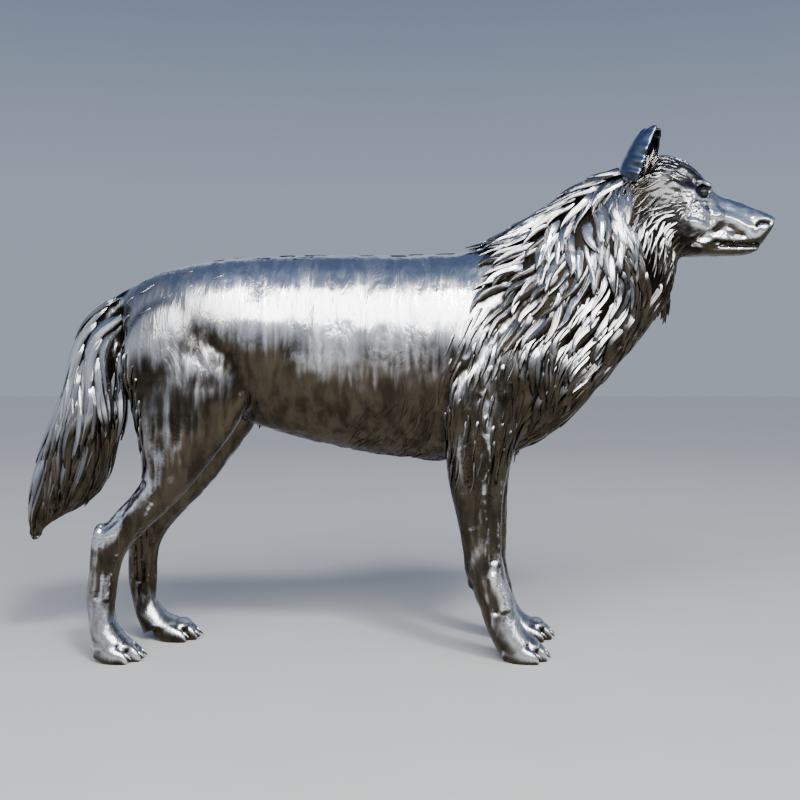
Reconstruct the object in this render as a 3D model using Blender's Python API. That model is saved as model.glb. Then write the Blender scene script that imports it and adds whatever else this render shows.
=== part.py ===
"""Life-size standing wolf, welded from polished stainless steel, as one solid with two set-in eyes.

Row frame: metres, +Z up, the wolf looks along +X, its right side is at -Y, and the soles stand on Z = 0.
The body is lofted from sections named below, fused and smoothed, and the locks of fur are welded on as
leaf-shaped blades that follow the lie of the coat.
"""

import math
import random

import bmesh
import bpy
from mathutils import Matrix, Vector
from mathutils.bvhtree import BVHTree

# Driving dimensions of the wolf
LEG_SPREAD = 0.090  # from the middle plane to the centre of each leg
# How far the left legs stand ahead of the right ones, as (height, distance)
FORE_STRIDE = ((0.00, 0.010), (0.10, 0.010), (0.25, 0.028), (0.64, 0.028))
HIND_STRIDE = (
    (0.00, 0.062), (0.10, 0.051), (0.20, 0.040), (0.35, 0.027), (0.47, 0.020), (0.56, 0.014), (0.72, 0.008),
)

# Fusing and faceting: the body first, then the body with its locks, ears and claws
VOXEL = 0.0065
SMOOTHING = 6
WELD_VOXEL = 0.0038
WELD_SMOOTHING = 1
TRIANGLES = 8500
RINGS_BETWEEN = 4
TRUNK_POINTS = 56
SKULL_POINTS = 40
LIMB_POINTS = 24

STEEL = {"color": (0.58, 0.58, 0.60, 1.0), "roughness": 0.22, "metallic": 1.0}
DARK_STEEL = {"color": (0.03, 0.03, 0.035, 1.0), "roughness": 0.12, "metallic": 1.0}

# A section is (x, z) of its first edge, (x, z) of its second edge, y of its middle, half its width
# across the body, and how much wider it is towards the first edge (egg). The first edge is the back or
# the front of a limb, the second the belly or the rear of a limb.
TRUNK = (
    (-0.604, 0.765, -0.600, 0.680, 0.0, 0.030, 0.0),
    (-0.582, 0.797, -0.584, 0.620, 0.0, 0.080, 0.0),
    (-0.530, 0.827, -0.515, 0.575, 0.0, 0.108, 0.0),
    (-0.451, 0.849, -0.430, 0.545, 0.0, 0.122, 0.1),
    (-0.385, 0.860, -0.372, 0.520, 0.0, 0.124, 0.1),
    (-0.319, 0.865, -0.319, 0.500, 0.0, 0.120, 0.1),
    (-0.220, 0.869, -0.220, 0.470, 0.0, 0.123, 0.1),
    (-0.088, 0.869, -0.088, 0.440, 0.0, 0.132, 0.1),
    (0.044, 0.871, 0.044, 0.423, 0.0, 0.138, 0.1),
    (0.143, 0.876, 0.120, 0.422, 0.0, 0.138, 0.0),
    (0.205, 0.898, 0.225, 0.442, 0.0, 0.134, -0.1),
    (0.270, 0.938, 0.332, 0.489, 0.0, 0.130, -0.2),
    (0.335, 0.980, 0.415, 0.573, 0.0, 0.124, -0.2),
    (0.392, 1.018, 0.486, 0.655, 0.0, 0.114, -0.1),
    (0.450, 1.043, 0.547, 0.732, 0.0, 0.100, 0.0),
    (0.500, 1.060, 0.582, 0.778, 0.0, 0.086, 0.0),
    (0.535, 1.055, 0.596, 0.830, 0.0, 0.075, 0.0),
    (0.555, 1.040, 0.602, 0.880, 0.0, 0.055, 0.0),
)
SKULL = (
    (0.480, 1.030, 0.490, 0.920, 0.0, 0.050, 0.0),
    (0.520, 1.068, 0.525, 0.890, 0.0, 0.080, 0.0),
    (0.565, 1.085, 0.570, 0.876, 0.0, 0.090, -0.1),
    (0.605, 1.079, 0.608, 0.876, 0.0, 0.084, -0.1),
    (0.640, 1.057, 0.640, 0.884, 0.0, 0.068, 0.0),
    (0.668, 1.027, 0.668, 0.890, 0.0, 0.053, 0.0),
    (0.690, 1.003, 0.692, 0.893, 0.0, 0.042, -0.1),
    (0.722, 0.992, 0.720, 0.895, 0.0, 0.037, -0.2),
    (0.755, 0.980, 0.750, 0.896, 0.0, 0.035, -0.2),
    (0.785, 0.969, 0.778, 0.897, 0.0, 0.033, -0.2),
    (0.806, 0.961, 0.795, 0.905, 0.0, 0.026, 0.0),
    (0.820, 0.952, 0.812, 0.928, 0.0, 0.016, 0.0),
)
JAW = (
    (0.560, 0.930, 0.590, 0.868, 0.0, 0.060, 0.0),
    (0.620, 0.905, 0.630, 0.866, 0.0, 0.052, 0.0),
    (0.670, 0.895, 0.672, 0.867, 0.0, 0.038, 0.0),
    (0.720, 0.891, 0.722, 0.868, 0.0, 0.030, 0.0),
    (0.755, 0.891, 0.757, 0.871, 0.0, 0.025, 0.0),
    (0.775, 0.890, 0.776, 0.877, 0.0, 0.016, 0.0),
)
FORELEG = (
    (0.300, 0.790, 0.190, 0.760, 0.050, 0.050, 0.0),
    (0.288, 0.715, 0.140, 0.690, 0.070, 0.061, 0.0),
    (0.274, 0.640, 0.105, 0.620, 0.079, 0.063, 0.0),
    (0.262, 0.560, 0.090, 0.545, 0.083, 0.061, 0.0),
    (0.250, 0.490, 0.092, 0.480, 0.088, 0.055, 0.0),
    (0.235, 0.430, 0.098, 0.425, 0.091, 0.048, 0.0),
    (0.222, 0.370, 0.106, 0.370, 0.092, 0.044, 0.0),
    (0.217, 0.300, 0.121, 0.300, 0.090, 0.040, 0.0),
    (0.217, 0.240, 0.134, 0.240, 0.089, 0.037, 0.0),
    (0.224, 0.190, 0.141, 0.186, 0.089, 0.036, 0.0),
    (0.232, 0.160, 0.153, 0.158, 0.090, 0.035, 0.0),
    (0.243, 0.130, 0.163, 0.128, 0.090, 0.034, 0.0),
    (0.253, 0.096, 0.178, 0.088, 0.090, 0.035, 0.0),
    (0.266, 0.070, 0.195, 0.045, 0.090, 0.037, 0.0),
    (0.285, 0.050, 0.212, 0.012, 0.090, 0.038, 0.0),
)
HINDLEG = (
    (-0.400, 0.800, -0.520, 0.790, 0.048, 0.046, 0.0),
    (-0.350, 0.740, -0.560, 0.730, 0.062, 0.054, 0.0),
    (-0.312, 0.650, -0.587, 0.645, 0.076, 0.056, 0.0),
    (-0.318, 0.565, -0.573, 0.556, 0.083, 0.055, 0.0),
    (-0.346, 0.505, -0.561, 0.495, 0.087, 0.052, 0.0),
    (-0.385, 0.448, -0.549, 0.440, 0.088, 0.048, 0.0),
    (-0.428, 0.395, -0.549, 0.395, 0.088, 0.043, 0.0),
    (-0.470, 0.346, -0.574, 0.355, 0.088, 0.038, 0.0),
    (-0.516, 0.302, -0.612, 0.312, 0.088, 0.034, 0.0),
    (-0.556, 0.265, -0.655, 0.264, 0.088, 0.031, 0.0),
    (-0.585, 0.228, -0.660, 0.228, 0.088, 0.028, 0.0),
    (-0.598, 0.190, -0.664, 0.190, 0.088, 0.025, 0.0),
    (-0.606, 0.140, -0.669, 0.140, 0.089, 0.024, 0.0),
    (-0.610, 0.100, -0.667, 0.092, 0.090, 0.028, 0.0),
    (-0.600, 0.070, -0.660, 0.050, 0.090, 0.033, 0.0),
    (-0.580, 0.050, -0.648, 0.012, 0.090, 0.035, 0.0),
)
TAIL = (
    (-0.540, 0.815, -0.545, 0.745, 0.0, 0.040, 0.0),
    (-0.598, 0.795, -0.578, 0.725, 0.0, 0.036, 0.0),
    (-0.654, 0.758, -0.588, 0.700, 0.0, 0.038, 0.0),
    (-0.694, 0.705, -0.592, 0.660, 0.0, 0.044, 0.0),
    (-0.719, 0.640, -0.596, 0.610, 0.0, 0.050, 0.0),
    (-0.735, 0.575, -0.602, 0.555, 0.0, 0.055, 0.0),
    (-0.757, 0.510, -0.613, 0.498, 0.0, 0.056, 0.0),
    (-0.784, 0.440, -0.636, 0.432, 0.0, 0.053, 0.0),
    (-0.802, 0.385, -0.655, 0.372, 0.0, 0.045, 0.0),
    (-0.811, 0.340, -0.700, 0.332, 0.0, 0.034, 0.0),
    (-0.815, 0.300, -0.758, 0.303, 0.0, 0.020, 0.0),
    (-0.812, 0.270, -0.794, 0.277, 0.0, 0.009, 0.0),
    (-0.806, 0.253, -0.802, 0.255, 0.0, 0.004, 0.0),
)
# Rounded swellings under the skin, as centre and half sizes, on both sides where y isn't zero
SWELLINGS = (
    (0.640, 0.036, 1.013, 0.028, 0.014, 0.010),
    (0.600, 0.058, 0.945, 0.060, 0.034, 0.058),
    (0.740, 0.020, 0.909, 0.050, 0.016, 0.018),
    (0.806, 0.000, 0.949, 0.016, 0.019, 0.013),
    (0.150, 0.110, 0.560, 0.070, 0.034, 0.110),
    (-0.470, 0.104, 0.640, 0.110, 0.036, 0.110),
    (-0.650, 0.088, 0.262, 0.011, 0.020, 0.024),
)
# A toe is (y, tip x, half width), from the middle and the rear of its paw.
TOES = (
    (-0.0350, 0.086, 0.0135),
    (-0.0125, 0.097, 0.0140),
    (0.0125, 0.097, 0.0140),
    (0.0350, 0.086, 0.0135),
)
OUTER_TOE_DROP = 0.12  # how much lower the outer toes are
TOES_MEET = 0.05  # where, from the rear of the paw, the toes reach their full spread
TOE_GATHER = 0.72  # their spread at the rear, as a share of that
# A profile is x from the rear, the top, the bottom and half the width; a toe's width is a share.
TOE_PROFILE = (
    (0.000, 0.040, 0.000, 0.70),
    (0.030, 0.050, -0.006, 0.95),
    (0.055, 0.047, -0.006, 1.00),
    (0.075, 0.039, -0.006, 1.00),
    (0.090, 0.029, -0.006, 0.90),
    (0.097, 0.017, -0.004, 0.62),
)
PAW_PAD = (
    (0.000, 0.046, -0.004, 0.018),
    (0.012, 0.052, -0.006, 0.030),
    (0.035, 0.054, -0.006, 0.041),
    (0.060, 0.042, -0.006, 0.040),
    (0.072, 0.028, -0.006, 0.030),
)
CLAW_LENGTH = 0.016
CLAW_WIDTH = 0.0038
CLAW_ROOT = (-0.009, 0.0185)  # x from the toe's tip, and height
CLAW_DROP = 0.0115
CLAW_PROFILE = ((0.0, 1.0), (0.35, 0.95), (0.7, 0.66), (1.0, 0.16))
# The x of each paw's rear, on the right, and how far ahead the left one is
FORE_PAW_REAR = 0.219
HIND_PAW_REAR = -0.648
FORE_PAW_SHIFT = 0.034
HIND_PAW_SHIFT = 0.088

# The right ear, which the left one mirrors but stands a little higher
EAR_BASE = Vector((0.508, -0.050, 1.025))
EAR_TIP = Vector((0.548, -0.067, 1.148))
LEFT_EAR_RISE = 0.013
EAR_TURN = 32.0  # degrees from straight ahead towards the side
# An ear section is how far up it is, half its width, its depth, its wall and how far it leans back.
EAR = (
    (0.00, 0.024, 0.034, 0.014, 0.000),
    (0.20, 0.031, 0.041, 0.012, 0.001),
    (0.42, 0.032, 0.041, 0.011, 0.001),
    (0.64, 0.027, 0.034, 0.010, 0.000),
    (0.83, 0.018, 0.022, 0.009, -0.002),
    (0.94, 0.011, 0.014, 0.007, -0.002),
    (1.00, 0.005, 0.007, 0.004, -0.003),
)

# The right eye, and the gap round it in its socket
EYE_CENTRE = Vector((0.6500, -0.0515, 1.0020))
EYE_SIZE = (0.0150, 0.0075, 0.0108)
EYE_TURN = (-14.0, 24.0)  # degrees: tilt of the slit, and turn towards the nose
EYE_GAP = 0.0003

# The line of the lips: x, z, its height, and how near the middle plane the cut reaches
MOUTH = (
    (0.690, 0.8925, 0.0012, 0.0122),
    (0.730, 0.8915, 0.0031, 0.0099),
    (0.765, 0.8925, 0.0037, 0.0076),
    (0.800, 0.8990, 0.0041, 0.0010),
    (0.835, 0.9080, 0.0044, 0.0010),
)
MOUTH_REACH = 0.08
NOSTRIL = Vector((0.812, -0.013, 0.943))
NOSTRIL_RADIUS = 0.0055

# The lie of the coat, as (x, z, degrees) in the middle plane, 0 towards the head and 90 upwards
COAT = (
    (0.720, 1.000, 180.0),
    (0.640, 1.040, 185.0),
    (0.590, 1.070, 190.0),
    (0.680, 0.960, 190.0),
    (0.650, 0.920, 205.0),
    (0.620, 0.960, 200.0),
    (0.600, 0.900, 235.0),
    (0.570, 0.960, 225.0),
    (0.560, 1.040, 205.0),
    (0.500, 1.060, 205.0),
    (0.500, 0.960, 232.0),
    (0.540, 0.880, 250.0),
    (0.590, 0.800, 262.0),
    (0.540, 0.760, 240.0),
    (0.470, 0.880, 238.0),
    (0.420, 1.000, 212.0),
    (0.400, 0.900, 228.0),
    (0.480, 0.720, 238.0),
    (0.400, 0.780, 240.0),
    (0.420, 0.640, 232.0),
    (0.340, 0.560, 225.0),
    (0.330, 0.700, 244.0),
    (0.330, 0.860, 220.0),
    (0.300, 0.960, 210.0),
    (0.230, 0.880, 200.0),
    (0.240, 0.780, 225.0),
    (0.240, 0.620, 245.0),
    (0.160, 0.860, 190.0),
    (0.160, 0.700, 235.0),
    (0.000, 0.850, 181.0),
    (-0.300, 0.850, 181.0),
    (-0.500, 0.820, 198.0),
    (-0.600, 0.780, 214.0),
    (-0.660, 0.720, 236.0),
    (-0.675, 0.640, 258.0),
    (-0.690, 0.540, 261.0),
    (-0.720, 0.440, 256.0),
    (-0.750, 0.360, 246.0),
    (-0.790, 0.300, 238.0),
)
# Where the long locks grow, as outlines in the middle plane
MANE = (
    (0.165, 0.885), (0.300, 0.975), (0.480, 1.075), (0.560, 1.090), (0.610, 1.000), (0.640, 0.930),
    (0.610, 0.850), (0.590, 0.780), (0.400, 0.540), (0.262, 0.455), (0.205, 0.560), (0.200, 0.720),
)
BRUSH = ((-0.590, 0.810), (-0.640, 0.790), (-0.830, 0.480), (-0.830, 0.240), (-0.640, 0.360), (-0.585, 0.700))
# Each stretch of long locks: its outline, the spacing of its locks and their length
COATS = (
    (MANE, 0.044, (0.105, 0.150)),
    (BRUSH, 0.040, (0.142, 0.202)),
)
LOCK_HALF_WIDTH = (0.0136, 0.0176)
LOCK_RISE = 0.0120
LOCK_LIFT = (0.004, 0.010)  # how far the tip stands off the body
LOCK_LEAF = (0.55, 0.95, 1.0, 0.82, 0.5, 0.0)  # share of the half width, from root to tip
LOCK_SUNK = 0.008  # how deep the underside lies
LOCK_EDGE = 0.002  # how deep the edges lie
LOCK_TURN = 0.65  # how fast a lock takes up the lie of the coat
SEED = 11

# Free tufts at the throat, under the belly and at the tail's end: x, y, z, degrees, length, half width
TUFTS = (
    (0.584, -0.006, 0.790, 258.0, 0.070, 0.016),
    (0.574, 0.018, 0.782, 254.0, 0.066, 0.016),
    (0.566, -0.026, 0.782, 252.0, 0.054, 0.016),
    (0.584, 0.006, 0.832, 264.0, 0.066, 0.016),
    (-0.306, 0.000, 0.520, 262.0, 0.034, 0.010),
    (-0.292, 0.006, 0.514, 282.0, 0.028, 0.010),
    (-0.318, -0.004, 0.522, 248.0, 0.026, 0.010),
    (-0.672, -0.008, 0.362, 240.0, 0.068, 0.014),
    (-0.690, 0.012, 0.360, 225.0, 0.060, 0.014),
)
TUFT_PROFILE = ((-0.35, 0.7), (0.0, 1.0), (0.35, 0.85), (0.7, 0.5), (1.0, 0.08))
TUFT_FLATNESS = 0.6
TUFT_CURVE = 0.12


def clear_scene():
    """Take away whatever the scene holds."""
    for item in list(bpy.data.objects):
        bpy.data.objects.remove(item, do_unlink=True)


def material(name, look):
    """A metal or dark finish from its colour, roughness and metallic value."""
    made = bpy.data.materials.new(name)
    made.use_nodes = True
    shader = made.node_tree.nodes["Principled BSDF"]
    shader.inputs["Base Color"].default_value = look["color"]
    shader.inputs["Roughness"].default_value = look["roughness"]
    shader.inputs["Metallic"].default_value = look["metallic"]
    return made


def object_from(bm, name):
    """A scene object from a finished bmesh."""
    mesh = bpy.data.meshes.new(name)
    bm.to_mesh(mesh)
    bm.free()
    made = bpy.data.objects.new(name, mesh)
    bpy.context.scene.collection.objects.link(made)
    return made


def between(rows, count):
    """Rows of numbers with count more rows between each two, on a smooth curve through all."""
    found = []
    for i in range(len(rows) - 1):
        before = rows[max(i - 1, 0)]
        after = rows[min(i + 2, len(rows) - 1)]
        for step in range(count + 1):
            t = step / (count + 1)
            columns = zip(before, rows[i], rows[i + 1], after)
            found.append(tuple(spline(p, a, b, q, t) for p, a, b, q in columns))
    found.append(tuple(rows[-1]))
    return found


def spline(p, a, b, q, t):
    """Catmull-Rom value between a and b."""
    square = (2 * p - 5 * a + 4 * b - q) * t * t
    cube = (3 * a - p - 3 * b + q) * t * t * t
    return 0.5 * (2 * a + (b - p) * t + square + cube)


def oval(section, points):
    """The points of one section, round from its first edge."""
    x1, z1, x2, z2, y, half, egg = section
    ring = []
    for i in range(points):
        turn = 2 * math.pi * i / points
        along = math.cos(turn)
        across = math.sin(turn)
        ring.append(
            Vector((
                (x1 + x2) / 2 + (x1 - x2) / 2 * along,
                y + half * across * (1 + egg * along),
                (z1 + z2) / 2 + (z1 - z2) / 2 * along,
            ))
        )
    return ring


def skin(bm, rings):
    """A closed skin over rings of equal length, with a point in the middle of each end."""
    loops = [[bm.verts.new(point) for point in ring] for ring in rings]
    for first, second in zip(loops, loops[1:]):
        for i in range(len(first)):
            j = (i + 1) % len(first)
            bm.faces.new((first[i], first[j], second[j], second[i]))
    for loop, ring, flip in ((loops[0], rings[0], True), (loops[-1], rings[-1], False)):
        middle = bm.verts.new(sum(ring, Vector()) / len(ring))
        for i in range(len(loop)):
            j = (i + 1) % len(loop)
            corners = (loop[j], loop[i], middle) if flip else (loop[i], loop[j], middle)
            bm.faces.new(corners)


def add_loft(bm, sections, points=LIMB_POINTS, extra=RINGS_BETWEEN):
    """Loft a table of sections into the bmesh."""
    skin(bm, [oval(section, points) for section in between(sections, extra)])


def graded(table, height):
    """The value at a height in a table of (height, value)."""
    if height <= table[0][0]:
        return table[0][1]
    for (low, first), (high, second) in zip(table, table[1:]):
        if height <= high:
            return first + (second - first) * (height - low) / (high - low)
    return table[-1][1]


def leg_sections(table, side, stride):
    """A leg's sections on one side, the left one carried ahead by its stride."""
    moved = []
    for x1, z1, x2, z2, y, half, egg in table:
        ahead = graded(stride, (z1 + z2) / 2) if side > 0 else 0.0
        moved.append((x1 + ahead, z1, x2 + ahead, z2, y * side, half, egg))
    return moved


def add_paw(bm, rear, side):
    """A paw from its pad and four toes."""
    centre = LEG_SPREAD * side
    pad = [(rear + x, top, rear + x, low, centre, half, 0.0) for x, top, low, half in PAW_PAD]
    add_loft(bm, pad, 16, 2)
    for y, tip, half in TOES:
        scale = tip / TOE_PROFILE[-1][0]
        lower = 1 - OUTER_TOE_DROP * abs(y) / TOES[-1][0]
        toe = []
        for x, top, low, wide in TOE_PROFILE:
            spread = TOE_GATHER + (1 - TOE_GATHER) * min(1, x / TOES_MEET)
            at = rear + x * scale
            toe.append((at, top * lower, at, low, centre + y * spread, half * wide, 0.0))
        add_loft(bm, toe, 12, 2)


def paw_rears():
    """The rear and the side of each paw."""
    return (
        (FORE_PAW_REAR, -1),
        (FORE_PAW_REAR + FORE_PAW_SHIFT, 1),
        (HIND_PAW_REAR, -1),
        (HIND_PAW_REAR + HIND_PAW_SHIFT, 1),
    )


def add_claw(bm, rear, side, y, tip):
    """A short pointed claw at the front of a toe, bending to the ground."""
    start = Vector((rear + tip + CLAW_ROOT[0], LEG_SPREAD * side + y, CLAW_ROOT[1]))
    rings = []
    for t, wide in CLAW_PROFILE:
        middle = start + Vector((CLAW_LENGTH * t, 0, -CLAW_DROP * t * t))
        across = Vector((0, CLAW_WIDTH * wide, 0))
        rings.append(hexagon(middle, across, Vector((0, 0, 1.3 * CLAW_WIDTH * wide))))
    skin(bm, rings)


def claws():
    """The claws of all four paws."""
    bm = bmesh.new()
    for rear, side in paw_rears():
        for y, tip, _ in TOES:
            add_claw(bm, rear, side, y, tip)
    bmesh.ops.recalc_face_normals(bm, faces=bm.faces)
    return object_from(bm, "claws")


def hexagon(middle, across, up):
    """Six points round a middle, from its two half axes."""
    turns = [i * math.pi / 3 for i in range(6)]
    return [middle + across * math.cos(turn) + up * math.sin(turn) for turn in turns]


def fused_body():
    """Trunk, head, legs, paws and tail fused and smoothed, without the locks."""
    bm = bmesh.new()
    add_loft(bm, TRUNK, TRUNK_POINTS)
    add_loft(bm, SKULL, SKULL_POINTS)
    add_loft(bm, JAW)
    add_loft(bm, TAIL)
    for side in (-1, 1):
        add_loft(bm, leg_sections(FORELEG, side, FORE_STRIDE))
        add_loft(bm, leg_sections(HINDLEG, side, HIND_STRIDE))
    for rear, side in paw_rears():
        add_paw(bm, rear, side)
    for x, y, z, *size in SWELLINGS:
        for side in (-1, 1) if y else (1,):
            place = Matrix.Translation((x, y * side, z)) @ Matrix.Diagonal((*size, 1))
            bmesh.ops.create_uvsphere(bm, u_segments=20, v_segments=12, radius=1.0, matrix=place)
    bmesh.ops.recalc_face_normals(bm, faces=bm.faces)
    body = object_from(bm, "wolf")
    fuse(body, VOXEL, SMOOTHING)
    return body


def fuse(item, voxel, smoothing):
    """Melt the overlapping shapes of a mesh into one skin and smooth it."""
    remesh = item.modifiers.new("fuse", "REMESH")
    remesh.mode = "VOXEL"
    remesh.voxel_size = voxel
    smooth = item.modifiers.new("smooth", "SMOOTH")
    smooth.factor = 0.5
    smooth.iterations = smoothing
    settle(item)


def welded(body, pieces):
    """Weld the pieces on, and cut the skin into flat facets, flat at the ground."""
    bm = bmesh.new()
    bm.from_mesh(body.data)
    for piece in pieces:
        bm.from_mesh(piece.data)
        bpy.data.objects.remove(piece, do_unlink=True)
    bm.to_mesh(body.data)
    bm.free()
    fuse(body, WELD_VOXEL, WELD_SMOOTHING)
    faces = sum(len(face.vertices) - 2 for face in body.data.polygons)
    thin = body.modifiers.new("facets", "DECIMATE")
    thin.ratio = TRIANGLES / faces
    settle(body)
    bm = bmesh.new()
    bm.from_mesh(body.data)
    whole = bm.verts[:] + bm.edges[:] + bm.faces[:]
    cut = bmesh.ops.bisect_plane(
        bm, geom=whole, dist=1e-5, plane_co=(0, 0, 0), plane_no=(0, 0, -1), clear_outer=True
    )
    rim = [item for item in cut["geom_cut"] if isinstance(item, bmesh.types.BMEdge)]
    bmesh.ops.holes_fill(bm, edges=rim, sides=0)
    bmesh.ops.triangulate(bm, faces=bm.faces)
    keep_largest(bm)
    bmesh.ops.recalc_face_normals(bm, faces=bm.faces)
    bm.to_mesh(body.data)
    bm.free()


def keep_largest(bm):
    """Leave only the largest connected skin."""
    unseen = set(bm.faces)
    shells = []
    while unseen:
        stack = [unseen.pop()]
        shell = []
        while stack:
            face = stack.pop()
            shell.append(face)
            for edge in face.edges:
                for other in edge.link_faces:
                    if other in unseen:
                        unseen.discard(other)
                        stack.append(other)
        shells.append(shell)
    shells.sort(key=len)
    spare = [face for shell in shells[:-1] for face in shell]
    bmesh.ops.delete(bm, geom=spare, context="FACES")


def settle(item):
    """Make the object's modifiers its own mesh."""
    graph = bpy.context.evaluated_depsgraph_get()
    mesh = bpy.data.meshes.new_from_object(item.evaluated_get(graph))
    item.modifiers.clear()
    old = item.data
    item.data = mesh
    bpy.data.meshes.remove(old)


def cut_away(item, cutter):
    """Cut the cutter's shape from the object, and take the cutter away."""
    change = item.modifiers.new("cut", "BOOLEAN")
    change.operation = "DIFFERENCE"
    change.object = cutter
    change.solver = "EXACT"
    settle(item)
    bpy.data.objects.remove(cutter, do_unlink=True)


def inside(outline, x, z):
    """Whether the point lies within the outline."""
    hit = False
    for (x1, z1), (x2, z2) in zip(outline, outline[1:] + outline[:1]):
        if (z1 > z) != (z2 > z) and x < (x2 - x1) * (z - z1) / (z2 - z1) + x1:
            hit = not hit
    return hit


def lie(point):
    """The way the coat lies at a point, before it is laid on the surface."""
    x = 0.0
    z = 0.0
    for gx, gz, degrees in COAT:
        near = 1 / ((point.x - gx) ** 2 + (point.z - gz) ** 2 + 1e-4) ** 2
        x += near * math.cos(math.radians(degrees))
        z += near * math.sin(math.radians(degrees))
    return Vector((x, 0, z)).normalized()


def traced(tree, start, length):
    """Points and normals along the surface, following the lie of the coat."""
    steps = len(LOCK_LEAF) - 1
    point, normal = tree.find_nearest(start)[:2]
    path = [(point, normal)]
    way = lie(point)
    for _ in range(steps):
        way = (way * (1 - LOCK_TURN) + lie(point) * LOCK_TURN).normalized()
        flat = (way - normal * way.dot(normal)).normalized()
        point, normal = tree.find_nearest(point + flat * length / steps)[:2]
        path.append((point, normal))
    return path


def lock(path, half, lift):
    """A leaf-shaped blade along a path, its root in the body and its tip lifted."""
    bm = bmesh.new()
    last = len(path) - 1
    loops = []
    for i, (point, normal) in enumerate(path):
        before = path[max(i - 1, 0)][0]
        after = path[min(i + 1, last)][0]
        across = normal.cross(after - before).normalized() * half * LOCK_LEAF[i]
        t = i / last
        ridge = LOCK_RISE * (0.15 + 0.85 * math.sin(math.pi * min(1, 0.15 + t) ** 0.8))
        off = lift * max(0, t - 0.45) / 0.55
        if i == last:
            loops.append([bm.verts.new(point + normal * off)])
            continue
        loops.append([
            bm.verts.new(point + across + normal * (off - LOCK_EDGE)),
            bm.verts.new(point + normal * (ridge + off)),
            bm.verts.new(point - across + normal * (off - LOCK_EDGE)),
            bm.verts.new(point + normal * (off - LOCK_SUNK)),
        ])
    for first, second in zip(loops, loops[1:]):
        for k in range(4):
            m = (k + 1) % 4
            if len(second) == 1:
                bm.faces.new((first[k], first[m], second[0]))
            else:
                bm.faces.new((first[k], first[m], second[m], second[k]))
    bm.faces.new(list(reversed(loops[0])))
    bmesh.ops.triangulate(bm, faces=bm.faces)
    bmesh.ops.recalc_face_normals(bm, faces=bm.faces)
    return object_from(bm, "lock")


def seeds(body, outline, spacing, chance):
    """Points spread over the part of the body within an outline, no two nearer than the spacing."""
    centres = [face.center.copy() for face in body.data.polygons]
    points = [point for point in centres if inside(outline, point.x, point.z)]
    chance.shuffle(points)
    kept = []
    for point in points:
        if all((point - other).length > spacing for other in kept):
            kept.append(point)
    return kept


def grown_locks(body):
    """The long locks of the mane, the chest and the tail."""
    chance = random.Random(SEED)
    tree = BVHTree.FromObject(body, bpy.context.evaluated_depsgraph_get())
    made = []
    for outline, spacing, lengths in COATS:
        for start in seeds(body, outline, spacing, chance):
            path = traced(tree, start, chance.uniform(*lengths))
            made.append(lock(path, chance.uniform(*LOCK_HALF_WIDTH), chance.uniform(*LOCK_LIFT)))
    return made


def tuft(x, y, z, degrees, length, half):
    """A free tuft that hangs from a point, thick at its root."""
    way = Vector((math.cos(math.radians(degrees)), 0, math.sin(math.radians(degrees))))
    across = Vector((-way.z, 0, way.x))
    rings = []
    for t, wide in TUFT_PROFILE:
        middle = Vector((x, y, z)) + way * length * t + across * TUFT_CURVE * length * t * t
        thick = Vector((0, TUFT_FLATNESS * half * wide, 0))
        rings.append(hexagon(middle, across * half * wide, thick))
    bm = bmesh.new()
    skin(bm, rings)
    bmesh.ops.recalc_face_normals(bm, faces=bm.faces)
    return object_from(bm, "tuft")


def ear(side):
    """A cupped ear, open to the front and a little to the side."""
    tip = EAR_TIP + Vector((0.0, 0.0, LEFT_EAR_RISE if side > 0 else 0.0))
    up = (tip - EAR_BASE).normalized()
    height = (tip - EAR_BASE).length
    turn = math.radians(EAR_TURN)
    front = Vector((math.cos(turn), -math.sin(turn), 0))
    front = (front - up * front.dot(up)).normalized()
    out = up.cross(front).normalized()
    rings = []
    arc = [math.pi * i / 8 for i in range(9)]
    for t, half, depth, wall, back in EAR:
        middle = EAR_BASE + up * height * t + front * (0.35 * depth - back)
        outer = [middle + out * half * math.cos(a) - front * depth * math.sin(a) for a in arc]
        middle -= front * 0.1 * wall
        half -= 0.7 * wall
        depth -= wall
        inner = [middle + out * half * math.cos(a) - front * depth * math.sin(a) for a in arc[-2:0:-1]]
        rings.append(outer + inner)
    bm = bmesh.new()
    skin(bm, rings)
    if side > 0:
        bmesh.ops.scale(bm, vec=(1, -1, 1), verts=bm.verts)
    bmesh.ops.recalc_face_normals(bm, faces=bm.faces)
    return object_from(bm, "ear")


def eye_ball(name, side, grow):
    """An eye as a flattened ball, turned along the side of the head."""
    bm = bmesh.new()
    bmesh.ops.create_uvsphere(bm, u_segments=14, v_segments=8, radius=1.0)
    size = [value + grow for value in EYE_SIZE]
    tilt, inward = (math.radians(value) for value in EYE_TURN)
    turn = Matrix.Rotation(-inward, 4, "Z") @ Matrix.Rotation(tilt, 4, "Y")
    place = Matrix.Translation(EYE_CENTRE) @ turn @ Matrix.Diagonal((*size, 1))
    bmesh.ops.transform(bm, matrix=place, verts=bm.verts)
    if side > 0:
        bmesh.ops.scale(bm, vec=(1, -1, 1), verts=bm.verts)
    bmesh.ops.recalc_face_normals(bm, faces=bm.faces)
    return object_from(bm, name)


def mouth_cutter(side):
    """A thin blade that opens the line of the lips on one side."""
    bm = bmesh.new()
    rings = []
    for x, z, height, near in MOUTH:
        corners = ((MOUTH_REACH, 0.5), (near, 0.5), (near, -0.5), (MOUTH_REACH, -0.5))
        rings.append([Vector((x, -y, z + up * height)) for y, up in corners])
    skin(bm, rings)
    if side > 0:
        bmesh.ops.scale(bm, vec=(1, -1, 1), verts=bm.verts)
    bmesh.ops.recalc_face_normals(bm, faces=bm.faces)
    return object_from(bm, "mouth")


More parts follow.
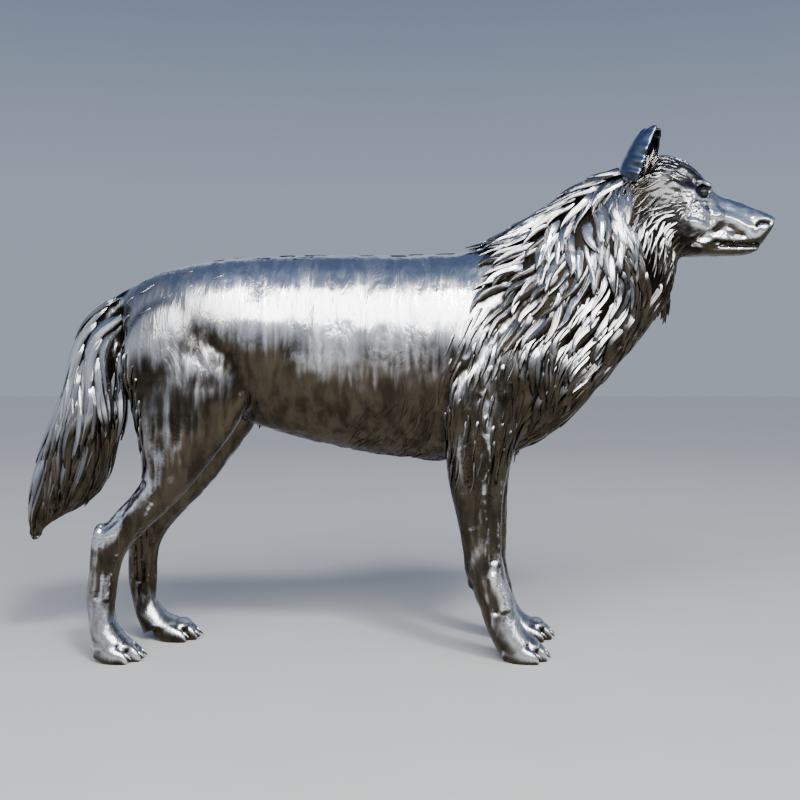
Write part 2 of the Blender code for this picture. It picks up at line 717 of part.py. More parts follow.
def nostril(side):
    """A small ball that hollows a nostril."""
    bm = bmesh.new()
    bmesh.ops.create_icosphere(bm, subdivisions=1, radius=NOSTRIL_RADIUS)
    bmesh.ops.translate(bm, vec=(NOSTRIL.x, -NOSTRIL.y * side, NOSTRIL.z), verts=bm.verts)
    return object_from(bm, "nostril")


def main():
    """Build the wolf and its eyes."""
    clear_scene()
    wolf = fused_body()
    pieces = grown_locks(wolf)
    pieces += [tuft(*row) for row in TUFTS]
    pieces += [claws(), ear(-1), ear(1)]
    welded(wolf, pieces)
    for side in (-1, 1):
        for cutter in (eye_ball("socket", side, EYE_GAP), mouth_cutter(side), nostril(side)):
            cut_away(wolf, cutter)
    wolf.data.materials.clear()
    wolf.data.materials.append(material("polished_stainless", STEEL))
    dark = material("dark_eye", DARK_STEEL)
    for name, side in (("eye_right", -1), ("eye_left", 1)):
        eye_ball(name, side, 0.0).data.materials.append(dark)


main()
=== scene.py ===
"""Looks of a life-size standing wolf, welded and ground from polished stainless steel.

Row frame: metres, +Z up. The wolf looks along +X, its right side is at -Y and its soles stand on Z = 0.
"""

import sys
import logging
import math
import random
from dataclasses import dataclass, replace
from enum import Enum
from itertools import product

import bmesh
import bpy
import numpy as np
from bmesh.types import BMEdge, BMesh, BMVert
from bpy.types import ID, Material, Mesh, Node, NodeSocket, NodeTree, Object, bpy_prop_collection
from mathutils import Matrix, Vector, noise
from mathutils.bvhtree import BVHTree
from mathutils.kdtree import KDTree


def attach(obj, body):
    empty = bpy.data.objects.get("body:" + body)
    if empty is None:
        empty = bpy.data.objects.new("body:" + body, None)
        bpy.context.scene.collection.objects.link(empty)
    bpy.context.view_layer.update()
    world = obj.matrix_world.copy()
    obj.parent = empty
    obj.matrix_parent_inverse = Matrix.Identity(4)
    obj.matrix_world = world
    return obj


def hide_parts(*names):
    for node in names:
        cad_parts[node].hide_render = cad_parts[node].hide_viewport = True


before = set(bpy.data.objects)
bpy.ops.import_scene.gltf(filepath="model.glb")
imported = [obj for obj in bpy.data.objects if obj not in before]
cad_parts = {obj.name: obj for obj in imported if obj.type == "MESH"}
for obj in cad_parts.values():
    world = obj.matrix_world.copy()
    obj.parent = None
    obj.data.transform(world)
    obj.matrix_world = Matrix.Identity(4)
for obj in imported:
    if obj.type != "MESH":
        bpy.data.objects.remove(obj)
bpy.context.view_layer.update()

LOG = logging.getLogger("wolf")

Rows = tuple[tuple[float, ...], ...]
Pair = tuple[float, float]
Triple = tuple[float, float, float]
Colour = tuple[float, float, float, float]


class Side(Enum):
    """A side of the wolf, as the sign of its Y."""

    RIGHT = -1
    LEFT = 1

    @property
    def word(self) -> str:
        """The side in the name of a piece."""
        return self.name.lower()


class Slot(Enum):
    """The material slots of the record."""

    STEEL = "polished_stainless"
    EYE = "dark_eye"


def metres(rows: Rows, spare: int = 0) -> Rows:
    """Rows of millimetres in metres, but for the last few values of each, which are no lengths."""
    return tuple(tuple(v / 1000 for v in row[: len(row) - spare]) + row[len(row) - spare :] for row in rows)


# A section is x and z of its first edge, x and z of its second edge, y of its middle, half its width across
# the body, and how much wider it is towards the first edge. A leg's y counts outwards.
TRUNK: Rows = metres((
    (-604, 765, -600, 680, 0, 30, 0), (-582, 797, -584, 620, 0, 80, 0), (-530, 827, -515, 575, 0, 108, 0),
    (-451, 849, -430, 545, 0, 122, 0.1), (-385, 860, -372, 520, 0, 124, 0.1),
    (-319, 865, -319, 500, 0, 120, 0.1), (-220, 869, -220, 470, 0, 123, 0.1),
    (-88, 869, -88, 440, 0, 132, 0.1), (44, 871, 44, 423, 0, 138, 0.1), (143, 876, 120, 422, 0, 138, 0),
    (205, 898, 225, 442, 0, 134, -0.1), (270, 938, 332, 489, 0, 130, -0.2),
    (335, 980, 415, 573, 0, 124, -0.2), (392, 1018, 486, 655, 0, 114, -0.1), (450, 1043, 547, 732, 0, 100, 0),
    (500, 1060, 582, 778, 0, 86, 0), (535, 1055, 596, 830, 0, 75, 0), (555, 1040, 602, 880, 0, 55, 0),
), 1)
SKULL: Rows = metres((
    (480, 1030, 490, 920, 0, 50, 0), (520, 1068, 525, 890, 0, 80, 0), (565, 1085, 570, 876, 0, 90, -0.1),
    (605, 1079, 608, 876, 0, 84, -0.1), (640, 1057, 640, 882, 0, 68, 0), (668, 1027, 668, 886, 0, 54, 0),
    (690, 1003, 692, 888, 0, 46, 0), (722, 992, 720, 889, 0, 40, -0.1), (755, 979, 757, 890, 0, 35, -0.1),
    (786, 967, 786, 893, 0, 31, -0.1), (806, 959, 797, 904, 0, 25, 0), (819, 951, 811, 928, 0, 17, 0),
), 1)
JAW: Rows = metres((
    (560, 930, 590, 868, 0, 60, 0), (620, 905, 630, 866, 0, 52, 0), (662, 896, 666, 867, 0, 40, 0),
    (690, 892, 692, 867, 0, 35, 0), (720, 891, 722, 868, 0, 30, 0), (752, 892, 750, 869, 0, 25, 0),
    (774, 892, 771, 874, 0, 20, 0), (786, 891, 782, 881, 0, 12, 0),
), 1)
PALATE: Rows = metres((
    (640, 912, 640, 876, 0, 36, 0), (690, 910, 690, 874, 0, 29, 0), (740, 908, 740, 876, 0, 21, 0),
    (774, 910, 764, 882, 0, 13, 0),
), 1)
FORELEG: Rows = metres((
    (300, 790, 190, 760, 50, 50, 0), (288, 715, 140, 690, 70, 61, 0), (274, 640, 105, 620, 79, 63, 0),
    (262, 560, 90, 545, 83, 61, 0), (250, 490, 92, 480, 88, 55, 0), (235, 430, 98, 425, 91, 48, 0),
    (222, 370, 106, 370, 92, 44, 0), (217, 300, 121, 300, 90, 40, 0), (217, 240, 134, 240, 89, 37, 0),
    (224, 190, 141, 186, 89, 36, 0), (232, 160, 153, 158, 90, 35, 0), (243, 130, 163, 128, 90, 34, 0),
    (253, 96, 178, 88, 90, 35, 0), (266, 70, 195, 45, 90, 40, 0), (285, 50, 212, 12, 90, 43, 0),
), 1)
HINDLEG: Rows = metres((
    (-400, 800, -520, 790, 48, 46, 0), (-350, 740, -560, 730, 62, 54, 0), (-312, 650, -587, 645, 76, 56, 0),
    (-318, 565, -573, 556, 83, 55, 0), (-346, 505, -561, 495, 87, 52, 0), (-385, 448, -549, 440, 88, 48, 0),
    (-428, 395, -549, 395, 88, 43, 0), (-470, 346, -574, 355, 88, 38, 0), (-516, 302, -612, 312, 88, 34, 0),
    (-556, 265, -655, 264, 88, 31, 0), (-585, 228, -660, 228, 88, 28, 0), (-598, 190, -664, 190, 88, 25, 0),
    (-606, 140, -669, 140, 89, 24, 0), (-610, 100, -667, 92, 90, 29, 0), (-600, 70, -660, 50, 90, 36, 0),
    (-580, 50, -648, 12, 90, 42, 0),
), 1)
TAIL: Rows = metres((
    (-540, 815, -545, 745, 0, 40, 0), (-598, 795, -578, 725, 0, 36, 0), (-654, 758, -588, 700, 0, 38, 0),
    (-694, 705, -592, 660, 0, 44, 0), (-719, 640, -596, 610, 0, 50, 0), (-735, 575, -602, 555, 0, 55, 0),
    (-757, 510, -613, 498, 0, 56, 0), (-784, 440, -636, 432, 0, 53, 0), (-802, 385, -655, 372, 0, 45, 0),
    (-811, 340, -700, 332, 0, 34, 0), (-815, 300, -758, 303, 0, 20, 0), (-812, 270, -794, 277, 0, 9, 0),
    (-806, 253, -802, 255, 0, 4, 0),
), 1)
# Swellings under the skin, as centre and half sizes, on both sides where y isn't zero
HEAD_SWELLINGS: Rows = metres((
    (640, 36, 1013, 28, 14, 10), (590, 53, 945, 72, 30, 60), (648, 36, 948, 52, 22, 40),
    (638, 33.5, 893, 50, 12.5, 18), (674, 29, 907, 42, 15, 20), (724, 18.5, 905.5, 52, 15.5, 15),
    (730, 16, 880.5, 40, 12, 8.2), (801.5, 0, 947, 16, 18, 12.5),
))
BODY_SWELLINGS: Rows = metres(((150, 110, 560, 70, 34, 110), (-470, 98, 640, 120, 34, 130)))
# How far the left legs stand ahead of the right ones, as (height, distance)
FORE_STRIDE: Rows = metres(((0, 10), (100, 10), (250, 28), (640, 28)))
HIND_STRIDE: Rows = metres(((0, 62), (100, 51), (200, 40), (350, 27), (470, 20), (560, 14), (720, 8)))
# The heights between which that distance fades out
STRIDE_TO: Pair = (0.66, 0.76)
# A toe is (y, tip x, half width), from the middle and the rear of its paw.
TOES: Rows = metres(((-35.5, 74, 11.8), (-12.5, 95, 12.2), (12.5, 97, 12.2), (35.5, 78, 11.8)))
# A profile is x from the rear, the top, the bottom and half the width; a toe's width is a share.
TOE_PROFILE: Rows = metres((
    (-4, 58, 10, 0.55), (18, 57, 0, 0.8), (40, 54, -6, 0.92), (60, 47, -6, 1), (78, 40, -6, 1.04),
    (90, 30, -6, 0.92), (97, 17, -4, 0.6),
), 1)
PAW_PAD: Rows = metres((
    (0, 44, -4, 18), (12, 48, -6, 30), (35, 44, -6, 36), (54, 28, -6, 30), (64, 16, -6, 20),
))
# The lie of the coat, as (x, z, degrees) in the middle plane, 0 towards the head and 90 upwards
COAT: Rows = metres((
    (720, 1000, 180), (660, 1045, 184), (640, 1040, 182), (590, 1070, 188), (563, 1014, 184),
    (531, 1025, 188), (593, 1025, 178), (610, 990, 184), (680, 960, 190), (650, 920, 212), (620, 960, 196),
    (580, 980, 200), (531, 954, 220), (499, 952, 228), (514, 909, 248), (531, 873, 264), (550, 851, 282),
    (567, 877, 272), (578, 909, 246), (599, 930, 222), (621, 909, 238), (610, 877, 258), (586, 838, 264),
    (575, 778, 262), (540, 760, 240), (560, 720, 240), (480, 720, 240), (480, 660, 236), (420, 640, 236),
    (400, 560, 228), (340, 540, 232), (308, 574, 262), (560, 1085, 192), (480, 1062, 206), (440, 1035, 214),
    (395, 1005, 220), (350, 975, 214), (300, 950, 210), (250, 910, 204), (200, 885, 196), (465, 995, 262),
    (430, 990, 262), (385, 960, 268), (418, 950, 296), (385, 904, 298), (473, 937, 286), (451, 838, 288),
    (490, 870, 286), (484, 794, 268), (510, 820, 276), (345, 930, 258), (319, 871, 256), (290, 900, 232),
    (400, 830, 262), (352, 794, 234), (410, 760, 236), (264, 772, 238), (250, 840, 224), (198, 794, 226),
    (190, 850, 210), (352, 684, 246), (440, 706, 240), (176, 640, 255), (230, 700, 246), (160, 860, 190),
    (160, 720, 240), (200, 560, 264), (160, 500, 268), (0, 860, 181), (0, 780, 240), (0, 650, 262),
    (20, 500, 246), (80, 480, 250), (-50, 500, 236), (-200, 780, 240), (-200, 620, 262), (-300, 860, 181),
    (-200, 500, 220), (-400, 800, 222), (-450, 700, 248), (-460, 580, 264), (-430, 460, 262),
    (-570, 620, 262), (-565, 500, 276), (-550, 420, 284), (-520, 780, 205), (-600, 780, 214),
    (-640, 740, 232), (-675, 680, 252), (-650, 640, 270), (-690, 600, 264), (-660, 540, 272),
    (-700, 500, 264), (-740, 460, 258), (-690, 420, 262), (-740, 380, 256), (-700, 360, 244),
    (-770, 330, 250), (-800, 290, 258), (-340, 380, 232),
), 1)
# Where the roots of the locks lie, as outlines in the middle plane
MANE_ROOTS: Rows = metres((
    (275, 955), (340, 995), (420, 1045), (480, 1075), (520, 1060), (512, 990), (506, 900), (530, 850),
    (580, 830), (610, 800), (590, 740), (500, 640), (420, 555), (350, 495), (300, 470), (285, 520),
    (318, 600), (330, 670), (292, 720), (262, 765), (248, 812), (242, 860), (252, 905),
))
RUFF_ROOTS: Rows = metres((
    (520, 1030), (552, 1038), (572, 1024), (580, 998), (602, 968), (620, 925), (618, 890), (600, 868),
    (560, 862), (535, 890), (518, 930), (510, 990),
))
BROW_ROOTS: Rows = metres((
    (500, 1060), (530, 1100), (580, 1100), (612, 1084), (640, 1060), (644, 1038), (624, 1016), (596, 1012),
    (572, 1020), (548, 1030), (525, 1032),
))
CHEEK_ROOTS: Rows = metres((
    (585, 985), (605, 998), (628, 984), (668, 982), (672, 962), (655, 940), (618, 942), (598, 962),
))
THROAT_ROOTS: Rows = metres((
    (560, 862), (600, 872), (640, 882), (620, 850), (612, 800), (585, 790), (560, 830),
))
SHOULDER_ROOTS: Rows = metres((
    (120, 730), (200, 770), (250, 740), (340, 680), (310, 610), (270, 500), (240, 430), (105, 430), (98, 600),
))
TAIL_ROOTS: Rows = metres(((-590, 815), (-640, 800), (-840, 480), (-840, 300), (-640, 360), (-590, 700)))
BREECH_ROOTS: Rows = metres(((-610, 700), (-570, 690), (-545, 600), (-545, 470), (-600, 430), (-620, 600)))
BELLY_ROOTS: Rows = metres(((-80, 560), (70, 590), (110, 520), (100, 440), (-60, 455)))
SPINE_ROOTS: Rows = metres(((-360, 900), (200, 915), (200, 882), (60, 864), (-360, 860)))
RUMP_ROOTS: Rows = metres(((-600, 800), (-500, 860), (-340, 880), (-340, 820), (-480, 770), (-580, 720)))


# ---- Mesh tools ----


def between(rows: Rows, count: int) -> list[list[float]]:
    """Put rows on a Catmull-Rom curve between each two.

    Args:
        rows: Rows of numbers.
        count: How many rows to put between two.

    Returns:
        All rows, the given ones among them.
    """
    table = np.array(rows)
    found = []
    for i, (a, b) in enumerate(zip(table, table[1:])):
        p, q = table[max(i - 1, 0)], table[min(i + 2, len(table) - 1)]
        for t in (step / (count + 1) for step in range(count + 1)):
            square = (2 * p - 5 * a + 4 * b - q) * t * t
            cube = (3 * a - p - 3 * b + q) * t * t * t
            found.append(0.5 * (2 * a + (b - p) * t + square + cube))
    return [row.tolist() for row in (*found, table[-1])]


def graded(table: Rows, height: float) -> float:
    """The value at a height in a table of (height, value), straight between its rows."""
    return float(np.interp(height, *zip(*table)))


def rim_of(verts: list[BMVert]) -> list[BMEdge]:
    """The edges at some vertices."""
    return list(dict.fromkeys(edge for vert in verts for edge in vert.link_edges))


def ring_at(bm: BMesh, points: int, place: Matrix, radius: float = 1.0, egg: float = 0.0) -> list[BMEdge]:
    """Lay a round ring.

    Args:
        bm: The mesh that takes it.
        points: How many points it has.
        place: Where it goes and how it is stretched.
        radius: Its radius before that.
        egg: How much wider it is towards its Y.

    Returns:
        Its edges.
    """
    verts = bmesh.ops.create_circle(bm, segments=points, radius=radius)["verts"]
    for vert in verts:
        vert.co.x *= 1 + egg * vert.co.y
    bmesh.ops.transform(bm, matrix=place, verts=verts)
    return rim_of(verts)


def skin_over(bm: BMesh, rings: list[list[BMEdge]]) -> None:
    """Bridge a row of rings and close its ends.

    Args:
        bm: The mesh that has them.
        rings: The edges of each.
    """
    for first, second in zip(rings, rings[1:]):
        bmesh.ops.bridge_loops(bm, edges=first + second)
    for rim in (rings[0], rings[-1]):
        bmesh.ops.holes_fill(bm, edges=rim, sides=0)


def mesh_of(bm: BMesh, name: str) -> Mesh:
    """A mesh from a finished bmesh, which is then freed.

    Args:
        bm: The bmesh.
        name: The mesh's name.

    Returns:
        The mesh.
    """
    mesh = bpy.data.meshes.new(name)
    bm.to_mesh(mesh)
    bm.free()
    return mesh


def placed(name: str, data: ID) -> Object:
    """A new object in the scene.

    Args:
        name: Its name.
        data: Its mesh, lamp or camera.

    Returns:
        The object.
    """
    item = bpy.data.objects.new(name, data)
    bpy.context.scene.collection.objects.link(item)
    return item


def object_of(bm: BMesh, name: str) -> Object:
    """A scene object from a finished bmesh."""
    return placed(name, mesh_of(bm, name))


@dataclass(frozen=True)
class Loft:
    """A closed skin over oval sections.

    Attributes:
        sections: The table of sections.
        points: The points of each ring.
        extra: The rings put between two sections.
    """

    sections: Rows
    points: int = 24
    extra: int = 3

    def mesh(self) -> Mesh:
        """Lay its rings, bridge them and close the ends.

        Returns:
            The mesh.
        """
        bm = bmesh.new()
        rings = []
        for x1, z1, x2, z2, y, half, egg in between(self.sections, self.extra):
            ahead = (0, (x1 - x2) / 2, 0, (x1 + x2) / 2)
            upward = (0, (z1 - z2) / 2, 1, (z1 + z2) / 2)
            place = Matrix((ahead, (half, 0, 0, y), upward, (0, 0, 0, 1)))
            rings.append(ring_at(bm, self.points, place, egg=egg))
        skin_over(bm, rings)
        bmesh.ops.recalc_face_normals(bm, faces=bm.faces)
        return mesh_of(bm, "loft")


def joined(lofts: list[Loft], swellings: Rows = ()) -> BMesh:
    """One bmesh of several lofts and the swellings on them.

    Args:
        lofts: The lofts.
        swellings: The rows of swellings.

    Returns:
        The bmesh.
    """
    bm = bmesh.new()
    for loft in lofts:
        mesh = loft.mesh()
        bm.from_mesh(mesh)
        bpy.data.meshes.remove(mesh)
    for x, y, z, *size in swellings:
        for side in (-1, 1) if y else (1,):
            add_ball(bm, (x, y * side, z), tuple(size))
    return bm


def add_ball(bm: BMesh, centre: Triple, size: Triple) -> None:
    """Add a ball of some half sizes."""
    place = Matrix.Translation(centre) @ Matrix.Diagonal((*size, 1))
    bmesh.ops.create_uvsphere(bm, u_segments=24, v_segments=16, radius=1.0, matrix=place)


def settle(item: Object) -> None:
    """Make the object's modifiers its own mesh.

    Args:
        item: The object.
    """
    mesh = bpy.data.meshes.new_from_object(item.evaluated_get(bpy.context.evaluated_depsgraph_get()))
    item.modifiers.clear()
    old, item.data = item.data, mesh
    bpy.data.meshes.remove(old)
    mesh.name = item.name


def fuse(item: Object, voxel: float, smoothing: int) -> None:
    """Melt overlapping shapes into one smooth skin.

    Args:
        item: The object whose mesh is fused.
        voxel: The size of its new faces.
        smoothing: How many times it is smoothed.
    """
    remesh = item.modifiers.new("fuse", "REMESH")
    remesh.mode = "VOXEL"
    remesh.voxel_size = voxel
    smooth = item.modifiers.new("smooth", "SMOOTH")
    smooth.factor = 0.5
    smooth.iterations = smoothing
    settle(item)


def cut_flat(item: Object, axis: int, at: float, outward: int) -> None:
    """Cut off what lies beyond a plane across an axis and close the cut.

    Args:
        item: The object that is cut.
        axis: The axis.
        at: Where the plane crosses it.
        outward: Which way along it goes, 1 or -1.
    """
    place, way = Vector(), Vector()
    place[axis], way[axis] = at, outward
    bm = bmesh.new()
    bm.from_mesh(item.data)
    whole = bm.verts[:] + bm.edges[:] + bm.faces[:]
    cut = bmesh.ops.bisect_plane(bm, geom=whole, dist=1e-5, plane_co=place, plane_no=way, clear_outer=True)
    rim = [part for part in cut["geom_cut"] if isinstance(part, BMEdge)]
    for cap in bmesh.ops.holes_fill(bm, edges=rim, sides=0)["faces"]:
        for edge in cap.edges:
            edge.smooth = False
    bmesh.ops.recalc_face_normals(bm, faces=bm.faces)
    bm.to_mesh(item.data)
    bm.free()


def triples(rows: bpy_prop_collection, name: str) -> np.ndarray:
    """What each part of a mesh keeps under a name, three numbers in a row.

    Args:
        rows: The parts.
        name: The name.

    Returns:
        A row for each part.
    """
    values = np.empty(len(rows) * 3, np.float32)
    rows.foreach_get(name, values)
    return values.reshape(-1, 3).astype(float)


def places_of(mesh: Mesh) -> np.ndarray:
    """The places of a mesh's vertices."""
    return triples(mesh.vertices, "co")


def normals_of(mesh: Mesh) -> np.ndarray:
    """The normals of a mesh's vertices."""
    return triples(mesh.vertex_normals, "vector")


def move_to(mesh: Mesh, places: np.ndarray) -> None:
    """Move the vertices of a mesh."""
    mesh.vertices.foreach_set("co", places.astype(np.float32).ravel())
    mesh.update()


def mark(mesh: Mesh, **rows: np.ndarray) -> None:
    """Keep a number for each vertex under each name, which materials read.

    Args:
        mesh: The mesh.
        rows: The numbers under each name.
    """
    for name, values in rows.items():
        layer = mesh.attributes.get(name) or mesh.attributes.new(name, "FLOAT", "POINT")
        layer.data.foreach_set("value", values.astype(np.float32))


def eased(values: np.ndarray, low: float, high: float) -> np.ndarray:
    """Values eased from 0 at low to 1 at high."""
    t = np.clip((values - low) / (high - low), 0, 1)
    return t * t * (3 - 2 * t)


def within(outline: Rows, x: np.ndarray, z: np.ndarray) -> np.ndarray:
    """Which points lie inside an outline in the middle plane.

    Args:
        outline: Its corners.
        x: The points' x.
        z: The points' z.

    Returns:
        True for each point inside.
    """
    hit = np.zeros(len(x), bool)
    for (x1, z1), (x2, z2) in zip(outline, outline[1:] + outline[:1]):
        reach = (x2 - x1) * (z - z1) / ((z2 - z1) or 1e-12) + x1
        hit ^= ((z1 > z) != (z2 > z)) & (x < reach)
    return hit


def level(places: np.ndarray) -> np.ndarray:
    """The (x, z) of places, with the left legs drawn back level with the right ones.

    Args:
        places: The places.

    Returns:
        An x and a z for each.
    """
    x, y, z = places.T
    strides = (np.interp(z, *zip(*table)) for table in (FORE_STRIDE, HIND_STRIDE))
    ahead = np.where(x > Body.middle, *strides) * (1 - eased(z, *STRIDE_TO))
    return np.stack([x - np.where(y > 0.0, ahead, 0.0), z], axis=1)


@dataclass(frozen=True)
class Stroke:
    """A ridge or a groove worked along a line on both sides of the body.

    Attributes:
        line: The line, as (x, z) points of the right side.
        reach: How far from the line it is felt.
        height: How high its ridge is, or how deep its groove where negative.
        low_y: How far from the middle plane it starts.
        soft: How softly it starts there.
    """

    line: tuple[Pair, ...]
    reach: float
    height: float
    low_y: float = 0.0
    soft: float = 0.004

    def felt(self, places: np.ndarray) -> np.ndarray:
        """How much places feel the stroke.

        Args:
            places: The places.

        Returns:
            From 0 to 1 for each.
        """
        best = np.full(len(places), 1e9)
        flat = level(places)
        for start, end in zip(np.array(self.line), np.array(self.line[1:])):
            d = end - start
            t = np.clip(((flat - start) @ d) / (d @ d), 0, 1)
            best = np.minimum(best, np.hypot(*(flat - start - t[:, None] * d).T))
        share = np.clip(1 - (best / self.reach) ** 2, 0, 1) ** 2
        return share * eased(np.abs(places[:, 1]), self.low_y - self.soft, self.low_y + self.soft)


def strokes_of(*rows: tuple[float, ...]) -> tuple[Stroke, ...]:
    """Strokes from rows of reach, low_y, height, x, z, x, z ..., in millimetres but for the height."""
    lines = (metres(tuple(zip(row[3::2], row[4::2]))) for row in rows)
    return tuple(Stroke(line, row[0] / 1000, row[2], row[1] / 1000) for line, row in zip(lines, rows))


def felt_most(places: np.ndarray, strokes: tuple[Stroke, ...]) -> np.ndarray:
    """The most that each place feels of some strokes, each times its height."""
    return np.max([0 * places[:, 0], *(stroke.felt(places) * stroke.height for stroke in strokes)], axis=0)


def worked(mesh: Mesh, strokes: tuple[Stroke, ...]) -> None:
    """Work ridges and grooves into a mesh, whose vertices move along their normals.

    Args:
        mesh: The mesh.
        strokes: The ridges and grooves.
    """
    places = places_of(mesh)
    moved = sum(stroke.felt(places) * stroke.height for stroke in strokes)
    move_to(mesh, places + normals_of(mesh) * moved[:, None])


@dataclass(frozen=True)
class Ripple:
    """A smooth random ripple in a skin.

    Attributes:
        size: Its width along x, y and z.
        height: Its height.
        seed: A shift that gives another ripple.
    """

    size: Triple
    height: float
    seed: float = 0.0

    def work(self, mesh: Mesh, share: np.ndarray) -> None:
        """Move a mesh's vertices in and out by the ripple.

        Args:
            mesh: The mesh.
            share: How much of it each vertex takes.
        """
        places = places_of(mesh)
        values = np.zeros(len(places))
        taking = np.flatnonzero(share > 0.01)
        scaled = places[taking] / np.array(self.size) + self.seed
        values[taking] = [noise.noise(row) + 0.5 * noise.noise(row * 2.1) for row in map(Vector, scaled)]
        move_to(mesh, places + normals_of(mesh) * (values * share * self.height)[:, None])


def hollows(mesh: Mesh, rounds: int, size: float) -> np.ndarray:
    """How hollow a mesh is at each vertex, from -1 on a ridge to 1 in a hollow.

    Args:
        mesh: The mesh.
        rounds: How many times the skin it is measured against is smoothed.
        size: The depth that counts as 1.

    Returns:
        A number for each vertex.
    """
    places = places_of(mesh)
    ends = np.empty(len(mesh.edges) * 2, np.int32)
    mesh.edges.foreach_get("vertices", ends)
    one, two = ends.reshape(-1, 2).T
    count = len(places)
    links = np.maximum(np.bincount(ends, minlength=count), 1)
    soft = places.copy()
    for k in list(range(3)) * rounds:
        total = np.bincount(one, soft[two, k], count) + np.bincount(two, soft[one, k], count)
        soft[:, k] = 0.5 * soft[:, k] + 0.5 * total / links
    depth = ((soft - places) * normals_of(mesh)).sum(axis=1)
    return np.clip((depth - np.median(depth)) / size, -1, 1)


# ---- Finishes ----


class Nodes:
    """A node tree under construction, whose inputs take a socket or a value."""

    def __init__(self, tree: NodeTree) -> None:
        """Start with an empty tree."""
        self.tree = tree
        tree.nodes.clear()

    def feed(self, target: NodeSocket, value: object) -> None:
        """Join a socket to another, or set its value.

        Args:
            target: The socket.
            value: The other socket, or the value.
        """
        if isinstance(value, NodeSocket):
            self.tree.links.new(value, target)
        else:
            target.default_value = value

    def add(self, kind: str, feeds: dict[int | str, object] | None = None, **settings: object) -> Node:
        """Add a node.

        Args:
            kind: Its type.
            feeds: What some of its inputs take.
            settings: Its properties.

        Returns:
            The node.
        """
        node = self.tree.nodes.new(kind)
        for name, value in settings.items():
            setattr(node, name, value)
        for key, value in (feeds or {}).items():
            self.feed(node.inputs[key], value)
        return node

    def math(self, operation: str, a: object, b: object) -> NodeSocket:
        """The result of a Math node."""
        return self.add("ShaderNodeMath", {0: a, 1: b}, operation=operation).outputs[0]

    def mix(self, share: object, a: object, b: object) -> NodeSocket:
        """The result of a colour Mix node."""
        return self.add("ShaderNodeMix", {0: share, 6: a, 7: b}, data_type="RGBA").outputs[2]

    def span(
        self, value: object, low: object, high: object, first: float = 0.0, last: float = 1.0
    ) -> NodeSocket:
        """A value mapped smoothly from one span to another."""
        ends = dict(enumerate((value, low, high, first, last)))
        return self.add("ShaderNodeMapRange", ends, interpolation_type="SMOOTHSTEP").outputs[0]

    def noise(
        self, place: NodeSocket, scale: object, detail: float, rough: float, warp: float = 0.0
    ) -> NodeSocket:
        """The value of a Noise texture."""
        feeds = {"Vector": place, "Scale": scale, "Detail": detail, "Roughness": rough, "Distortion": warp}
        return self.add("ShaderNodeTexNoise", feeds).outputs[0]

    def stretched(self, place: NodeSocket, scale: Triple, turn: float = 0.0) -> NodeSocket:
        """Coordinates stretched, and turned about Y."""
        feeds = {"Vector": place, "Scale": scale, "Rotation": (0, turn, 0)}
        return self.add("ShaderNodeMapping", feeds).outputs[0]

    def attribute(self, name: str) -> NodeSocket:
        """The value that the mesh keeps under a name."""
        return self.add("ShaderNodeAttribute", attribute_name=name).outputs["Fac"]

    def coordinates(self, name: str = "Object") -> NodeSocket:
        """The coordinates of a kind."""
        return self.add("ShaderNodeTexCoord").outputs[name]

    def apart(self, vector: NodeSocket) -> tuple[NodeSocket, ...]:
        """The x, y and z of a vector."""
        return tuple(self.add("ShaderNodeSeparateXYZ", {0: vector}).outputs)

    def bump(self, height: NodeSocket, depth: float, under: NodeSocket | None) -> NodeSocket:
        """The normal under it, raised by a height of which 1 stands for the depth in metres."""
        feeds = {"Strength": 1.0, "Distance": depth, "Height": height, **({"Normal": under} if under else {})}
        return self.add("ShaderNodeBump", feeds).outputs[0]


class Group(Nodes):
    """A shader group with number sockets."""

    def __init__(self, name: str, inputs: dict[str, float], outputs: tuple[str, ...]) -> None:
        """Begin the group.

        Args:
            name: Its name.
            inputs: Its inputs and their usual values.
            outputs: Its outputs.
        """
        tree = bpy.data.node_groups.new(name, "ShaderNodeTree")
        for label in (*inputs, *outputs):
            way = "INPUT" if label in inputs else "OUTPUT"
            socket = tree.interface.new_socket(name=label, in_out=way, socket_type="NodeSocketFloat")
            socket.default_value = inputs.get(label, 0.0)
        super().__init__(tree)
        self.given = self.add("NodeGroupInput").outputs
        self.made = self.add("NodeGroupOutput").inputs


